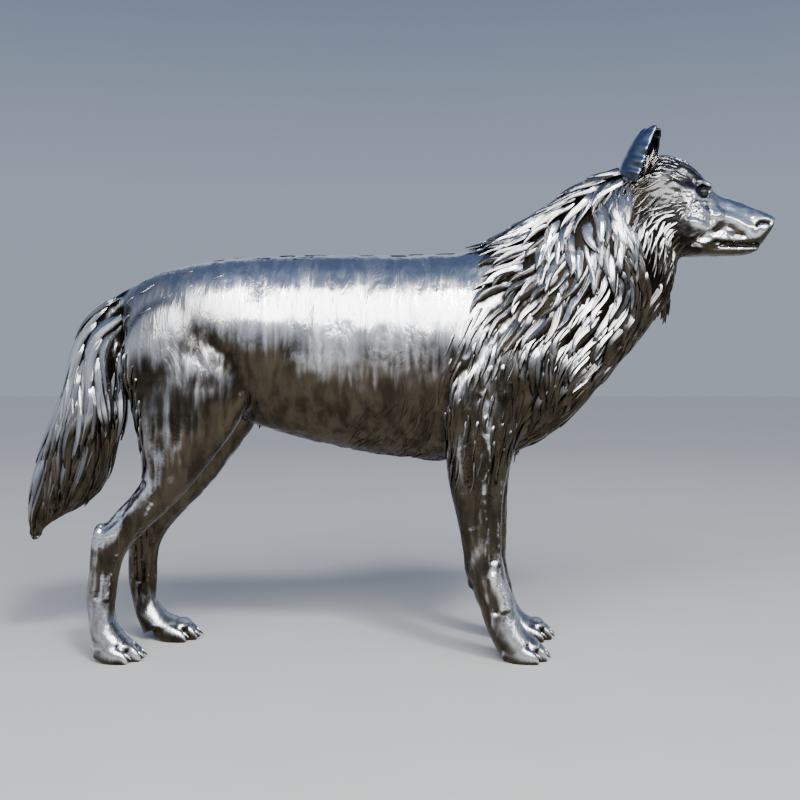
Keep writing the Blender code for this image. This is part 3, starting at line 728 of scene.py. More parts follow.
class Effects:
    """Shader groups that the finishes share."""

    def __init__(self) -> None:
        """Build each group once."""
        self.ground = self.build_ground()
        self.strokes = self.build_strokes()
        self.beads = self.build_beads()

    @staticmethod
    def build_ground() -> NodeTree:
        """Painted reflection and shade: 0 facing up, 1 facing the ground, darker in hollows, its edge uneven.

        Returns:
            The group.
        """
        inputs = {
            "Low": -0.1, "High": 0.2, "Wander": 0.3, "Scale": 9.0, "Lift": 0.6, "Front": 0.0,
            "Polish": 0.0, "Strokes": 0.5, "Hollow": 0.0, "Streaks": 0.0,
        }
        group = Group("facing_ground", inputs, ("Mask", "Warmth"))
        given = group.given
        place = group.coordinates()
        ahead, _, facing = group.apart(group.coordinates("Normal"))
        cloud = group.noise(place, given["Scale"], 4.0, 0.6, 0.4)
        streak = group.noise(group.stretched(place, (1.0, 1.0, 0.20)), 46.0, 3.0, 0.55, 0.5)
        # Painted light: higher places are painted lighter, and by Front where they face forwards.
        above = group.math("SUBTRACT", group.math("MAXIMUM", group.apart(place)[2], 0.50), 0.66)
        terms = (
            (group.math("SUBTRACT", cloud, 0.5), given["Wander"]),
            (above, given["Lift"]),
            (ahead, given["Front"]),
            (given["Polish"], 0.30),
            (group.math("SUBTRACT", given["Strokes"], 0.5), 0.16),
            (given["Hollow"], -0.28),
            (group.math("SUBTRACT", streak, 0.48), given["Streaks"]),
        )
        # Painted shade in hollows, painted light where polished and painted shade where dulled.
        for value, share in terms:
            facing = group.math("ADD", facing, group.math("MULTIPLY", value, share))
        lit = group.math("POWER", group.span(facing, given["Low"], given["High"]), 1.5)
        group.feed(group.made["Mask"], group.math("SUBTRACT", 1.0, lit))
        patches = group.math("ADD", group.math("MULTIPLY", cloud, 0.45), group.math("MULTIPLY", streak, 0.55))
        group.feed(group.made["Warmth"], group.span(patches, 0.38, 0.62))
        return group.tree

    @staticmethod
    def build_strokes() -> NodeTree:
        """Grinding strokes that run up and down the body, as a height and a tone.

        Returns:
            The group.
        """
        group = Group("grinding_strokes", {"Fine": 95.0, "Broad": 26.0}, ("Height", "Tone"))
        place = group.coordinates()
        leaning, tilted = (1.0, 0.35, 0.12), (1.0, 0.5, 0.30)
        fine = group.noise(group.stretched(place, leaning, 0.16), group.given["Fine"], 3.0, 0.6)
        wide = group.noise(group.stretched(place, tilted, -0.22), group.given["Broad"], 4.0, 0.6, 0.8)
        both = group.math("ADD", group.math("MULTIPLY", fine, 0.35), wide)
        group.feed(group.made["Height"], both)
        group.feed(group.made["Tone"], group.span(both, 0.45, 0.95))
        return group.tree

    @staticmethod
    def build_beads() -> NodeTree:
        """Weld beads ground half smooth, as a height and a tone.

        Returns:
            The group.
        """
        group = Group("weld_beads", {"Scale": 130.0, "Lumps": 38.0}, ("Height", "Tone"))
        place = group.coordinates()
        feeds = {"Smoothness": 0.6, "Vector": place, "Scale": group.given["Scale"]}
        cells = group.add("ShaderNodeTexVoronoi", feeds, feature="SMOOTH_F1").outputs["Distance"]
        lumps = group.noise(place, group.given["Lumps"], 3.0, 0.6, 0.6)
        height = group.math("SUBTRACT", lumps, group.math("MULTIPLY", cells, 0.5))
        group.feed(group.made["Height"], height)
        group.feed(group.made["Tone"], group.span(lumps, 0.35, 0.7))
        return group.tree


def started(name: str) -> tuple[Material, Nodes, bpy_prop_collection]:
    """Begin a material with a Principled shader.

    Args:
        name: The material's name.

    Returns:
        The material, its nodes and the shader's inputs.
    """
    material = bpy.data.materials.new(name)
    material.use_nodes = True
    nodes = Nodes(material.node_tree)
    shader = nodes.add("ShaderNodeBsdfPrincipled")
    nodes.add("ShaderNodeOutputMaterial", {0: shader.outputs[0]})
    return material, nodes, shader.inputs


@dataclass(frozen=True)
class SteelFinish:
    """Polished stainless steel, painted bright above and painted with shade where it faces the ground.

    Attributes:
        name: The finish's name.
        bright: Its colour facing up, a painted reflection of the light above.
        shade: Its colour facing down.
        warm: The warmer colour that the painted shade wanders to.
        gap: Its colour deep in gaps, a painted shade.
        roughness: Its roughness where polished and where ground.
        strokes: How deep the grinding strokes are, in metres.
        beads: How deep the weld beads are, in metres.
        grooves: How deep the grooves along the locks are, in metres.
        low: The facing at which it is fully painted in shade.
        high: The facing at which it is fully painted bright.
        wander: How far the edge of the painted shade wanders.
        lift: How much brighter the painted light is higher up, per metre.
        front: How much brighter the painted light is where it faces forwards.
        streaks: How much the painted light varies in long streaks where there are welds.
    """

    name: str
    bright: Colour = (0.82, 0.83, 0.85, 1.0)
    shade: Colour = (0.034, 0.028, 0.019, 1.0)
    warm: Colour = (0.085, 0.068, 0.047, 1.0)
    gap: Colour = (0.010, 0.008, 0.006, 1.0)
    roughness: Pair = (0.14, 0.26)
    strokes: float = 0.0
    beads: float = 0.0
    grooves: float = 0.0
    low: float = -0.38
    high: float = 0.08
    wander: float = 0.20
    lift: float = 1.20
    front: float = -0.06
    streaks: float = 1.1

    def make(self, effects: Effects) -> Material:
        """Build the material.

        Args:
            effects: The shared groups.

        Returns:
            The material.
        """
        material, nodes, ends = started(self.name)
        ends["Metallic"].default_value = 1.0
        hollow, weld, polish, gap = map(nodes.attribute, ("hollow", "weld", "polish", "gap"))
        groups = (effects.strokes, effects.beads, effects.ground)
        strokes, beads, ground = (nodes.add("ShaderNodeGroup", node_tree=tree) for tree in groups)
        strokes, beads = strokes.outputs, beads.outputs
        feeds = {
            "Low": self.low, "High": self.high, "Wander": self.wander, "Lift": self.lift, "Front": self.front,
            "Hollow": hollow, "Polish": polish,
        }
        if self.strokes:
            feeds |= {"Strokes": strokes["Tone"], "Streaks": nodes.math("MULTIPLY", weld, self.streaks)}
        for label, value in feeds.items():
            nodes.feed(ground.inputs[label], value)
        # Painted reflection and shade: the mask mixes the bright colour with the shade colour, and hollows
        # and gaps take the gap colour as painted shade.
        shade = nodes.mix(ground.outputs["Warmth"], self.shade, self.warm)
        colour = nodes.mix(ground.outputs["Mask"], self.bright, shade)
        if self.grooves:
            colour = nodes.mix(nodes.span(nodes.attribute("tone"), 0.0, 0.75, 0.62, 0.0), colour, shade)
        colour = nodes.mix(nodes.span(hollow, 0.25, 1.0, 0.0, 0.55), colour, self.gap)
        nodes.feed(ends["Base Color"], nodes.mix(gap, colour, self.gap))
        tone = (strokes if self.strokes else beads)["Tone"]
        dull = nodes.span(polish, 0.0, 1.0, 1.0, 0.35)
        rough = nodes.math("MULTIPLY", nodes.span(tone, 0.0, 1.0, *self.roughness), dull)
        rough = nodes.math("ADD", rough, nodes.math("MULTIPLY", gap, 0.15))
        nodes.feed(ends["Roughness"], nodes.math("ADD", rough, 0.03))
        normal = None
        smooth = nodes.math("SUBTRACT", 1.0, weld)
        for depth, raised, share in ((self.strokes, strokes, smooth), (self.beads, beads, weld)):
            if depth:
                normal = nodes.bump(nodes.math("MULTIPLY", raised["Height"], share), depth, normal)
        if self.grooves:
            normal = nodes.bump(self.groove_height(nodes), self.grooves, normal)
        if normal:
            nodes.feed(ends["Normal"], normal)
        return material

    @staticmethod
    def groove_height(nodes: Nodes) -> NodeSocket:
        """Fine grooves that follow each lock.

        Args:
            nodes: The material's nodes.

        Returns:
            Their height.
        """
        scales = {"across": 2.6, "along": 1.6, "tone": 31.0}
        where = (nodes.math("MULTIPLY", nodes.attribute(name), scale) for name, scale in scales.items())
        place = nodes.add("ShaderNodeCombineXYZ", dict(enumerate(where))).outputs[0]
        return nodes.noise(place, 1.6, 2.0, 0.5)


@dataclass(frozen=True)
class EyeFinish:
    """Dark glossy glass with a paler ring round the pupil.

    Attributes:
        name: The finish's name.
        ball: The colour of the ball.
        iris: The colour of the ring.
        fleck: The darker colour that flecks it.
        pupil: The colour of the pupil.
    """

    name: str = "dark_eye_gloss"
    ball: Colour = (0.012, 0.012, 0.014, 1.0)
    iris: Colour = (0.030, 0.033, 0.040, 1.0)
    fleck: Colour = (0.012, 0.0132, 0.016, 1.0)
    pupil: Colour = (0.004, 0.004, 0.005, 1.0)

    def make(self) -> Material:
        """Build the material, which reads how far each point is from the pupil's axis.

        Returns:
            The material.
        """
        material, nodes, ends = started(self.name)
        away = nodes.attribute("ring")
        flecks = nodes.noise(nodes.coordinates(), 900.0, 3.0, 0.6)
        ring = nodes.mix(flecks, self.iris, self.fleck)
        colour = nodes.mix(nodes.span(away, 0.30, 0.38), self.pupil, ring)
        nodes.feed(ends["Base Color"], nodes.mix(nodes.span(away, 0.62, 0.72), colour, self.ball))
        nodes.feed(ends["Roughness"], nodes.span(flecks, 0.0, 1.0, 0.16, 0.30))
        ends["Specular IOR Level"].default_value = 0.22
        ends["Coat Weight"].default_value = 0.06
        return material


def dressed(item: Object, material: Material, node: str = "wolf") -> Object:
    """Give a finished piece its material and its place in the frame.

    Args:
        item: The piece.
        material: Its finish.
        node: The CAD node it stands for.

    Returns:
        The piece.
    """
    item.data.materials.clear()
    item.data.materials.append(material)
    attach(item, "root")
    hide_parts(node)
    faces = sum(len(face.vertices) - 2 for face in item.data.polygons)
    LOG.info("%s: %d triangles", item.name, faces)
    return item


# ---- The body ----


@dataclass(frozen=True)
class Limb:
    """What the two forelegs or the two hindlegs share.

    Attributes:
        name: Their name.
        sections: The sections of a leg.
        upper: How many of them the upper leg has.
        stride: How far the left one stands ahead, by height.
        rear: The x of the right paw's rear.
        shift: How far ahead the left paw is.
        knob: The heel bone behind the hock, or the pad behind the wrist, with y counted outwards.
        knob_size: Its half sizes.
    """

    name: str
    sections: Rows
    upper: int
    stride: Rows
    rear: float
    shift: float
    knob: Triple
    knob_size: Triple

    def ahead(self, side: Side, height: float) -> float:
        """How far ahead of the right leg a side's leg stands at a height."""
        return graded(self.stride, height) if side is Side.LEFT else 0.0

    def loft(self, side: Side, sections: Rows, points: int = 24) -> Loft:
        """A leg, or a part of it.

        Args:
            side: Its side.
            sections: Its sections.
            points: The points of each ring.

        Returns:
            Its loft.
        """
        moved = []
        for x1, z1, x2, z2, y, half, egg in sections:
            ahead = self.ahead(side, (z1 + z2) / 2)
            moved.append((x1 + ahead, z1, x2 + ahead, z2, y * side.value, half, egg))
        return Loft(tuple(moved), points)


LIMBS = (
    Limb(
        "foreleg", FORELEG, 10, FORE_STRIDE, rear=0.219, shift=0.034,
        knob=(0.156, 0.088, 0.168), knob_size=(0.012, 0.013, 0.017),
    ),
    Limb(
        "hindleg", HINDLEG, 12, HIND_STRIDE, rear=-0.648, shift=0.088,
        knob=(-0.640, 0.088, 0.268), knob_size=(0.014, 0.020, 0.026),
    ),
)


class Form:
    """The whole body without its coat, which the locks follow and which isn't shown itself."""

    VOXEL = 0.0065
    SMOOTHING = 6

    def __init__(self) -> None:
        """Fuse the lofts and keep a tree of the skin."""
        lofts = [Loft(TRUNK, 56), Loft(SKULL, 40), Loft(JAW), Loft(TAIL)]
        lofts += [limb.loft(side, limb.sections) for side in Side for limb in LIMBS]
        item = object_of(joined(lofts, HEAD_SWELLINGS + BODY_SWELLINGS), "form")
        fuse(item, self.VOXEL, self.SMOOTHING)
        mesh = item.data
        self.tree = BVHTree.FromObject(item, bpy.context.evaluated_depsgraph_get())
        self.centres = triples(mesh.polygons, "center")
        guides = np.array(COAT)
        self.guides = guides[:, :2]
        turns = np.radians(guides[:, 2])
        self.ways = np.stack([np.cos(turns), np.sin(turns)], axis=1)
        bpy.data.objects.remove(item, do_unlink=True)
        bpy.data.meshes.remove(mesh)

    def lie(self, point: Vector) -> Vector:
        """The way the coat lies at a point, before it is laid on the skin.

        Args:
            point: The point.

        Returns:
            A unit vector in the middle plane.
        """
        away = self.guides - (point.x, point.z)
        x, z = (1 / ((away**2).sum(axis=1) + 1e-4) ** 2) @ self.ways
        return Vector((x, 0, z)).normalized()

    def seeds(self, outline: Rows, spacing: float, chance: random.Random) -> list[np.ndarray]:
        """Points spread evenly over the skin inside an outline.

        Args:
            outline: The outline in the middle plane.
            spacing: The least distance between two.
            chance: The source of its order.

        Returns:
            The points.
        """
        inside = self.centres[within(outline, self.centres[:, 0], self.centres[:, 2])]
        order = list(range(len(inside)))
        chance.shuffle(order)
        cells: dict[tuple[int, ...], list[np.ndarray]] = {}
        kept = []
        for point in inside[order]:
            x, y, z = (int(v) for v in np.floor(point / spacing))
            around = (cells.get((x + i, y + j, z + k), ()) for i, j, k in product((-1, 0, 1), repeat=3))
            if all(((point - other) ** 2).sum() > spacing * spacing for cell in around for other in cell):
                cells.setdefault((x, y, z), []).append(point)
                kept.append(point)
        return kept


@dataclass(frozen=True)
class SkinWork:
    """What the sculptor does to the bare skin of the trunk and the legs.

    Attributes:
        folds: The folds and ridges worked into it.
        beads: Lines of weld beads left standing.
        dark: Deep lines painted with shade, with how dark as their height.
        bright: Patches polished like a mirror, with a painted highlight in their colour.
        dull: Stretches painted darker than the rest, a painted shade.
        bead_height: How high the beads stand.
        bead_share: How much narrower they are raised than they are drawn.
        broad: The ripple all over.
        brushed: The long ripple of the trunk.
        hammered: The ripple of the legs.
        pebbled: The ripple of the beads, and a little of it on the legs.
        trunk_from: The heights between which the trunk's ripple sets in.
        leg_to: The heights between which the legs' ripple ends.
        paw_to: The heights between which the paws end, at the front and at the rear.
        inner_to: The heights between which the painted shade on the inner side of the legs ends.
        hollow: How many times the skin is smoothed to find its hollows, and which depth is a full one.
    """

    folds: tuple[Stroke, ...] = strokes_of(
        (22, 50, -0.0055, 195, 685, 160, 655, 124, 618, 104, 590),
        (20, 50, 0.0032, 215, 698, 180, 672, 140, 640), (14, 30, -0.004, 98, 570, 92, 500, 92, 455),
        (70, 30, 0.006, -290, 720, -300, 650, -296, 580, -280, 530),
        (22, 50, 0.003, -330, 560, -345, 520, -372, 480), (14, 20, -0.006, -583, 750, -590, 690, -588, 600),
        (11, 60, 0.0018, -521, 336, -545, 300, -564, 276, -585, 246, -600, 226),
        (9, 60, 0.0016, -600, 226, -609, 198, -618, 170, -623, 136),
        (14, 60, -0.0035, -545, 380, -585, 325, -625, 285),
        (10, 60, -0.0025, -632, 225, -638, 180, -642, 140),
        (10, 60, 0.0024, 180, 480, 186, 440, 178, 390, 176, 340),
        (20, 60, -0.0035, 140, 520, 142, 440, 146, 380, 150, 300),
        (12, 60, -0.003, 198, 460, 200, 380, 196, 300, 198, 220),
        (15, 60, 0.0035, 196, 182, 207, 154, 220, 118), (11, 60, -0.003, 180, 200, 188, 150, 200, 110),
    )
    beads: tuple[Stroke, ...] = strokes_of(
        (11, 60, 1, -521, 336, -545, 300, -564, 276, -585, 246, -604, 216),
        (8, 60, 1, -604, 216, -612, 180, -621, 136),
        (10, 50, 0.9, -560, 400, -590, 345, -628, 300, -652, 262),
        (10, 50, 1, 216, 440, 213, 340, 208, 280, 210, 210, 217, 162, 230, 114),
        (12, 60, 1, 168, 573, 186, 541, 172, 484, 188, 448, 186, 408),
        (8, 60, 0.9, 186, 408, 172, 389, 176, 348, 182, 300), (7, 60, 0.8, 186, 285, 180, 250, 180, 215),
        (12, 40, 0.6, -300, 560, -312, 500, -330, 470),
    )
    dark: tuple[Stroke, ...] = strokes_of(
        (16, 10, 0.95, -583, 752, -590, 690, -589, 600), (10, 50, 0.5, 200, 690, 158, 652, 124, 618),
        (115, 40, 0.6, -575, 730, -500, 755, -430, 735),
    )
    bright: tuple[Stroke, ...] = strokes_of(
        (34, 60, 1, -632, 262, -602, 275), (30, 60, 0.65, 200, 185, 216, 120),
        (18, 60, 0.6, 180, 545, 182, 490), (9, 50, 1, 134, 645, 190, 686),
        (36, 50, 0.35, -626, 170, -632, 100),
    )
    dull: tuple[Stroke, ...] = strokes_of(
        (120, 40, 0.45, 110, 640, 180, 600, 200, 470), (70, 40, 0.6, -270, 660, -280, 560),
        (45, 40, 0.8, -330, 600, -340, 520), (135, 40, 0.6, -420, 580, -500, 590),
        (75, 40, 0.9, -430, 680, -360, 640), (26, 40, 1.2, 94, 600, 92, 572),
        (50, 40, 0.9, 120, 630, 160, 580), (40, 40, 0.5, 110, 560, 100, 500),
    )
    bead_height: float = 0.0010
    bead_share: float = 0.60
    broad: Ripple = Ripple((0.075, 0.075, 0.060), 0.0012)
    brushed: Ripple = Ripple((0.018, 0.040, 0.110), 0.0010, 4.0)
    hammered: Ripple = Ripple((0.024, 0.024, 0.070), 0.0024, 7.0)
    pebbled: Ripple = Ripple((0.0065, 0.0065, 0.0120), 0.0010, 3.0)
    trunk_from: Pair = (0.38, 0.50)
    leg_to: Pair = (0.40, 0.56)
    paw_to: tuple[Pair, Pair] = ((0.05, 0.12), (0.08, 0.17))
    inner_to: Pair = (0.42, 0.58)
    hollow: Pair = (10, 0.0013)

    def apply(self, mesh: Mesh, coat: "Coat") -> None:
        """Work a fused skin and mark it for its finish.

        Args:
            mesh: The skin.
            coat: The coat that covers a part of it.
        """
        thin = tuple(replace(stroke, reach=self.bead_share * stroke.reach) for stroke in self.beads)
        worked(mesh, self.folds + tuple(replace(stroke, height=self.bead_height) for stroke in thin))
        places = places_of(mesh)
        z = places[:, 2]
        leg = (1 - eased(z, *self.leg_to)) * eased(z, 0.055, 0.085)
        line = felt_most(places, thin) * eased(z, 0.05, 0.08)
        self.broad.work(mesh, np.ones(len(z)))
        self.brushed.work(mesh, eased(z, *self.trunk_from))
        self.hammered.work(mesh, leg)
        self.pebbled.work(mesh, np.maximum(line, 0.10 * leg))
        places = places_of(mesh)
        places[:, 2] = np.where(z < 0.001, z, np.maximum(places[:, 2], 0))
        move_to(mesh, places)
        low = 1 - np.where(places[:, 0] > 0, *(eased(z, *heights) for heights in self.paw_to))
        inward = np.clip(-normals_of(mesh)[:, 1] * np.sign(places[:, 1]), 0, 1)
        inner = inward * (1 - eased(z, *self.inner_to))
        # Painted light and shade: a painted highlight on the paws and the bright patches, painted shade on
        # the dull stretches, the inner side of the legs and the lower legs; where positive it is also a
        # smoother polish.
        polish = np.maximum(0.34 * low, felt_most(places, self.bright)) - felt_most(places, self.dull)
        polish = polish * (1 - inner) - 0.5 * inner - 0.30 * (1 - low) * (1 - eased(z, 0.40, 0.52))
        hollow = hollows(mesh, *self.hollow)
        # Painted shade in the deep lines, in the hollows of the paws and under the locks.
        dark = np.maximum(felt_most(places, self.dark), low * np.clip(0.36 + 0.7 * hollow, 0, 0.95))
        weld = np.clip(0.42 * leg + 0.25 * line, 0, 1) * (1 - 0.7 * low)
        mark(mesh, hollow=hollow, gap=np.maximum(coat.covering(places), dark), weld=weld, polish=polish)
        mesh.shade_smooth()


@dataclass
class Body:
    """The trunk, the neck and the upper legs, in two halves, and the tail's core.

    Attributes:
        voxel: The size of its faces.
        smoothing: How many times the halves and the tail are smoothed.
        floor: The height at which the lower legs begin.
        middle: The x at which the front half meets the rear one.
        reach: How near a lower leg the skin must be to be drawn onto it.
        leave: The heights above the floor between which it leaves the lower leg.
        spare: What is kept below the floor until the skin is worked.
    """

    voxel: float = 0.0040
    smoothing: tuple[int, int] = (36, 6)
    floor: float = 0.360
    middle: float = -0.150
    reach: float = 0.012
    leave: Pair = (0.015, 0.075)
    spare: float = 0.050

    def follow(self, mesh: Mesh, legs: list[Object]) -> None:
        """Draw the skin onto the lower legs where it nears them.

        Args:
            mesh: The skin.
            legs: The skins of the lower legs.
        """
        graph = bpy.context.evaluated_depsgraph_get()
        trees = [BVHTree.FromObject(leg, graph) for leg in legs]
        places = places_of(mesh)
        share = 1 - eased(places[:, 2] - self.floor, *self.leave)
        for i in np.flatnonzero((share > 0) & (places[:, 2] > self.floor - self.spare)):
            found = min((tree.find_nearest(places[i]) for tree in trees), key=lambda hit: hit[3])
            if found[3] < self.reach:
                places[i] += (np.array(found[0]) - places[i]) * share[i]
        move_to(mesh, places)

    def build(self, legs: list[Object], work: SkinWork, coat: "Coat", finish: Material) -> None:
        """Build and dress the two halves and the tail's core.

        Args:
            legs: The skins of the lower legs.
            work: What is done to the skin.
            coat: The coat that covers a part of it.
            finish: Its steel.
        """
        tail = object_of(joined([Loft(TAIL[1:])]), "tail_core")
        fuse(tail, self.voxel, self.smoothing[1])
        work.apply(tail.data, coat)
        dressed(tail, finish)
        lofts = [Loft(TRUNK, 56), Loft(TAIL[:6])]
        lofts += [limb.loft(side, limb.sections[: limb.upper]) for side in Side for limb in LIMBS]
        front = object_of(joined(lofts, BODY_SWELLINGS), "body_front")
        fuse(front, self.voxel, self.smoothing[0])
        cut_flat(front, 2, self.floor - self.spare, -1)
        self.follow(front.data, legs)
        work.apply(front.data, coat)
        cut_flat(front, 2, self.floor, -1)
        rear = placed("body_rear", front.data.copy())
        for item, outward in ((front, -1), (rear, 1)):
            cut_flat(item, 0, self.middle, outward)
            dressed(item, finish)


@dataclass
class Leg:
    """A lower leg with its paw.

    Attributes:
        limb: What it shares with the other one.
        side: Its side.
        top: The height at which it meets the upper leg.
        root: The height below which its sections are taken.
        spare: What is kept above the top until it is fused, and until it is worked.
        track: How far the paw's middle is from the middle plane.
        outer_drop: How much lower the outer toes are, as a share.
        bunched: How close the toes stand at the rear, as a share, and the x from which they are apart.
        voxel: The size of its faces.
        smoothing: How many times it is smoothed.
        instep: Balls that fill the crease above the toes, as x from the rear, height and half sizes.
        claw: A claw's start and how far it reaches, ahead and up or down.
        claw_size: Half its height and half its width.
        claw_rings: Its rings, as a share of its length and of its size.
    """

    limb: Limb
    side: Side
    top: float = Body.floor
    root: float = 0.66
    spare: Pair = (0.10, 0.03)
    track: float = 0.090
    outer_drop: float = 0.24
    bunched: Pair = (0.72, 0.05)
    voxel: float = 0.0024
    smoothing: int = 16
    instep: Rows = ((0.024, 0.031, 0.038, 0.041, 0.025), (0.060, 0.034, 0.020, 0.036, 0.0145))
    claw: tuple[Pair, Pair] = ((-0.010, 0.0190), (0.017, -0.0125))
    claw_size: Pair = (0.0052, 0.0038)
    claw_rings: Rows = ((0.0, 1.0), (0.3, 1.0), (0.6, 0.78), (0.85, 0.42), (1.0, 0.10))

    @property
    def name(self) -> str:
        """The piece's name."""
        return f"{self.limb.name}_{self.side.word}"

    @property
    def rear(self) -> float:
        """The x of the paw's rear."""
        return self.limb.rear + (self.limb.shift if self.side is Side.LEFT else 0.0)

    def paw(self) -> list[Loft]:
        """The pad and the four toes.

        Returns:
            Their lofts.
        """
        rear, centre = self.rear, self.track * self.side.value
        pad = tuple((rear + x, top, rear + x, low, centre, half, 0.0) for x, top, low, half in PAW_PAD)
        lofts = [Loft(pad, 20, 2)]
        close, free = self.bunched
        for y, tip, half in TOES:
            scale = tip / TOE_PROFILE[-1][0]
            lower = 1 - self.outer_drop * abs(y) / TOES[-1][0]
            toe = []
            for x, top, low, wide in TOE_PROFILE:
                at, spread = rear + x * scale, close + (1 - close) * min(1, x / free)
                toe.append((at, top * lower, at, low, centre + y * spread, half * wide, 0.0))
            lofts.append(Loft(tuple(toe), 16, 2))
        return lofts

    def fused(self) -> Object:
        """The leg's skin up into the upper leg, not yet worked.

        Returns:
            Its object.
        """
        low = tuple(section for section in self.limb.sections if section[1] < self.root)
        bm = joined([self.limb.loft(self.side, low, 32), *self.paw()])
        for x, z, *size in self.instep:
            add_ball(bm, (self.rear + x, self.track * self.side.value, z), tuple(size))
        x, y, z = self.limb.knob
        add_ball(bm, (x + self.limb.ahead(self.side, 0.25), y * self.side.value, z), self.limb.knob_size)
        item = object_of(bm, self.name)
        fuse(item, self.voxel, self.smoothing)
        cut_flat(item, 2, self.top + self.spare[0], 1)
        return item

    def build(self, item: Object, work: SkinWork, coat: "Coat", finish: Material) -> None:
        """Work and dress the leg.

        Args:
            item: Its fused skin.
            work: What is done to the skin.
            coat: The coat above it.
            finish: Its steel.
        """
        cut_flat(item, 2, self.top + self.spare[1], 1)
        cut_flat(item, 2, 0.0, -1)
        work.apply(item.data, coat)
        cut_flat(item, 2, self.top, 1)
        dressed(item, finish)

    def claws(self, finish: Material) -> None:
        """Build and dress the claws of the paw.

        Args:
            finish: Their steel.
        """
        bm = bmesh.new()
        (back, high), (reach, drop) = self.claw
        for y, tip, _ in TOES:
            start = Vector((self.rear + tip + back, self.track * self.side.value + y, high))
            rings = []
            for t, wide in self.claw_rings:
                centre = Matrix.Translation(start + Vector((reach * t, 0, drop * t * t)))
                slope = Matrix.Rotation(math.radians(90 + 50 * t), 4, "Y")
                size = Matrix.Diagonal((*(half * wide for half in self.claw_size), 1, 1))
                rings.append(ring_at(bm, 10, centre @ slope @ size))
            skin_over(bm, rings)
        bmesh.ops.recalc_face_normals(bm, faces=bm.faces)
        item = object_of(bm, f"{self.name}_claws")
        mark(item.data, gap=np.zeros(len(item.data.vertices)))
        item.data.shade_smooth()
        dressed(item, finish)


# ---- The head ----


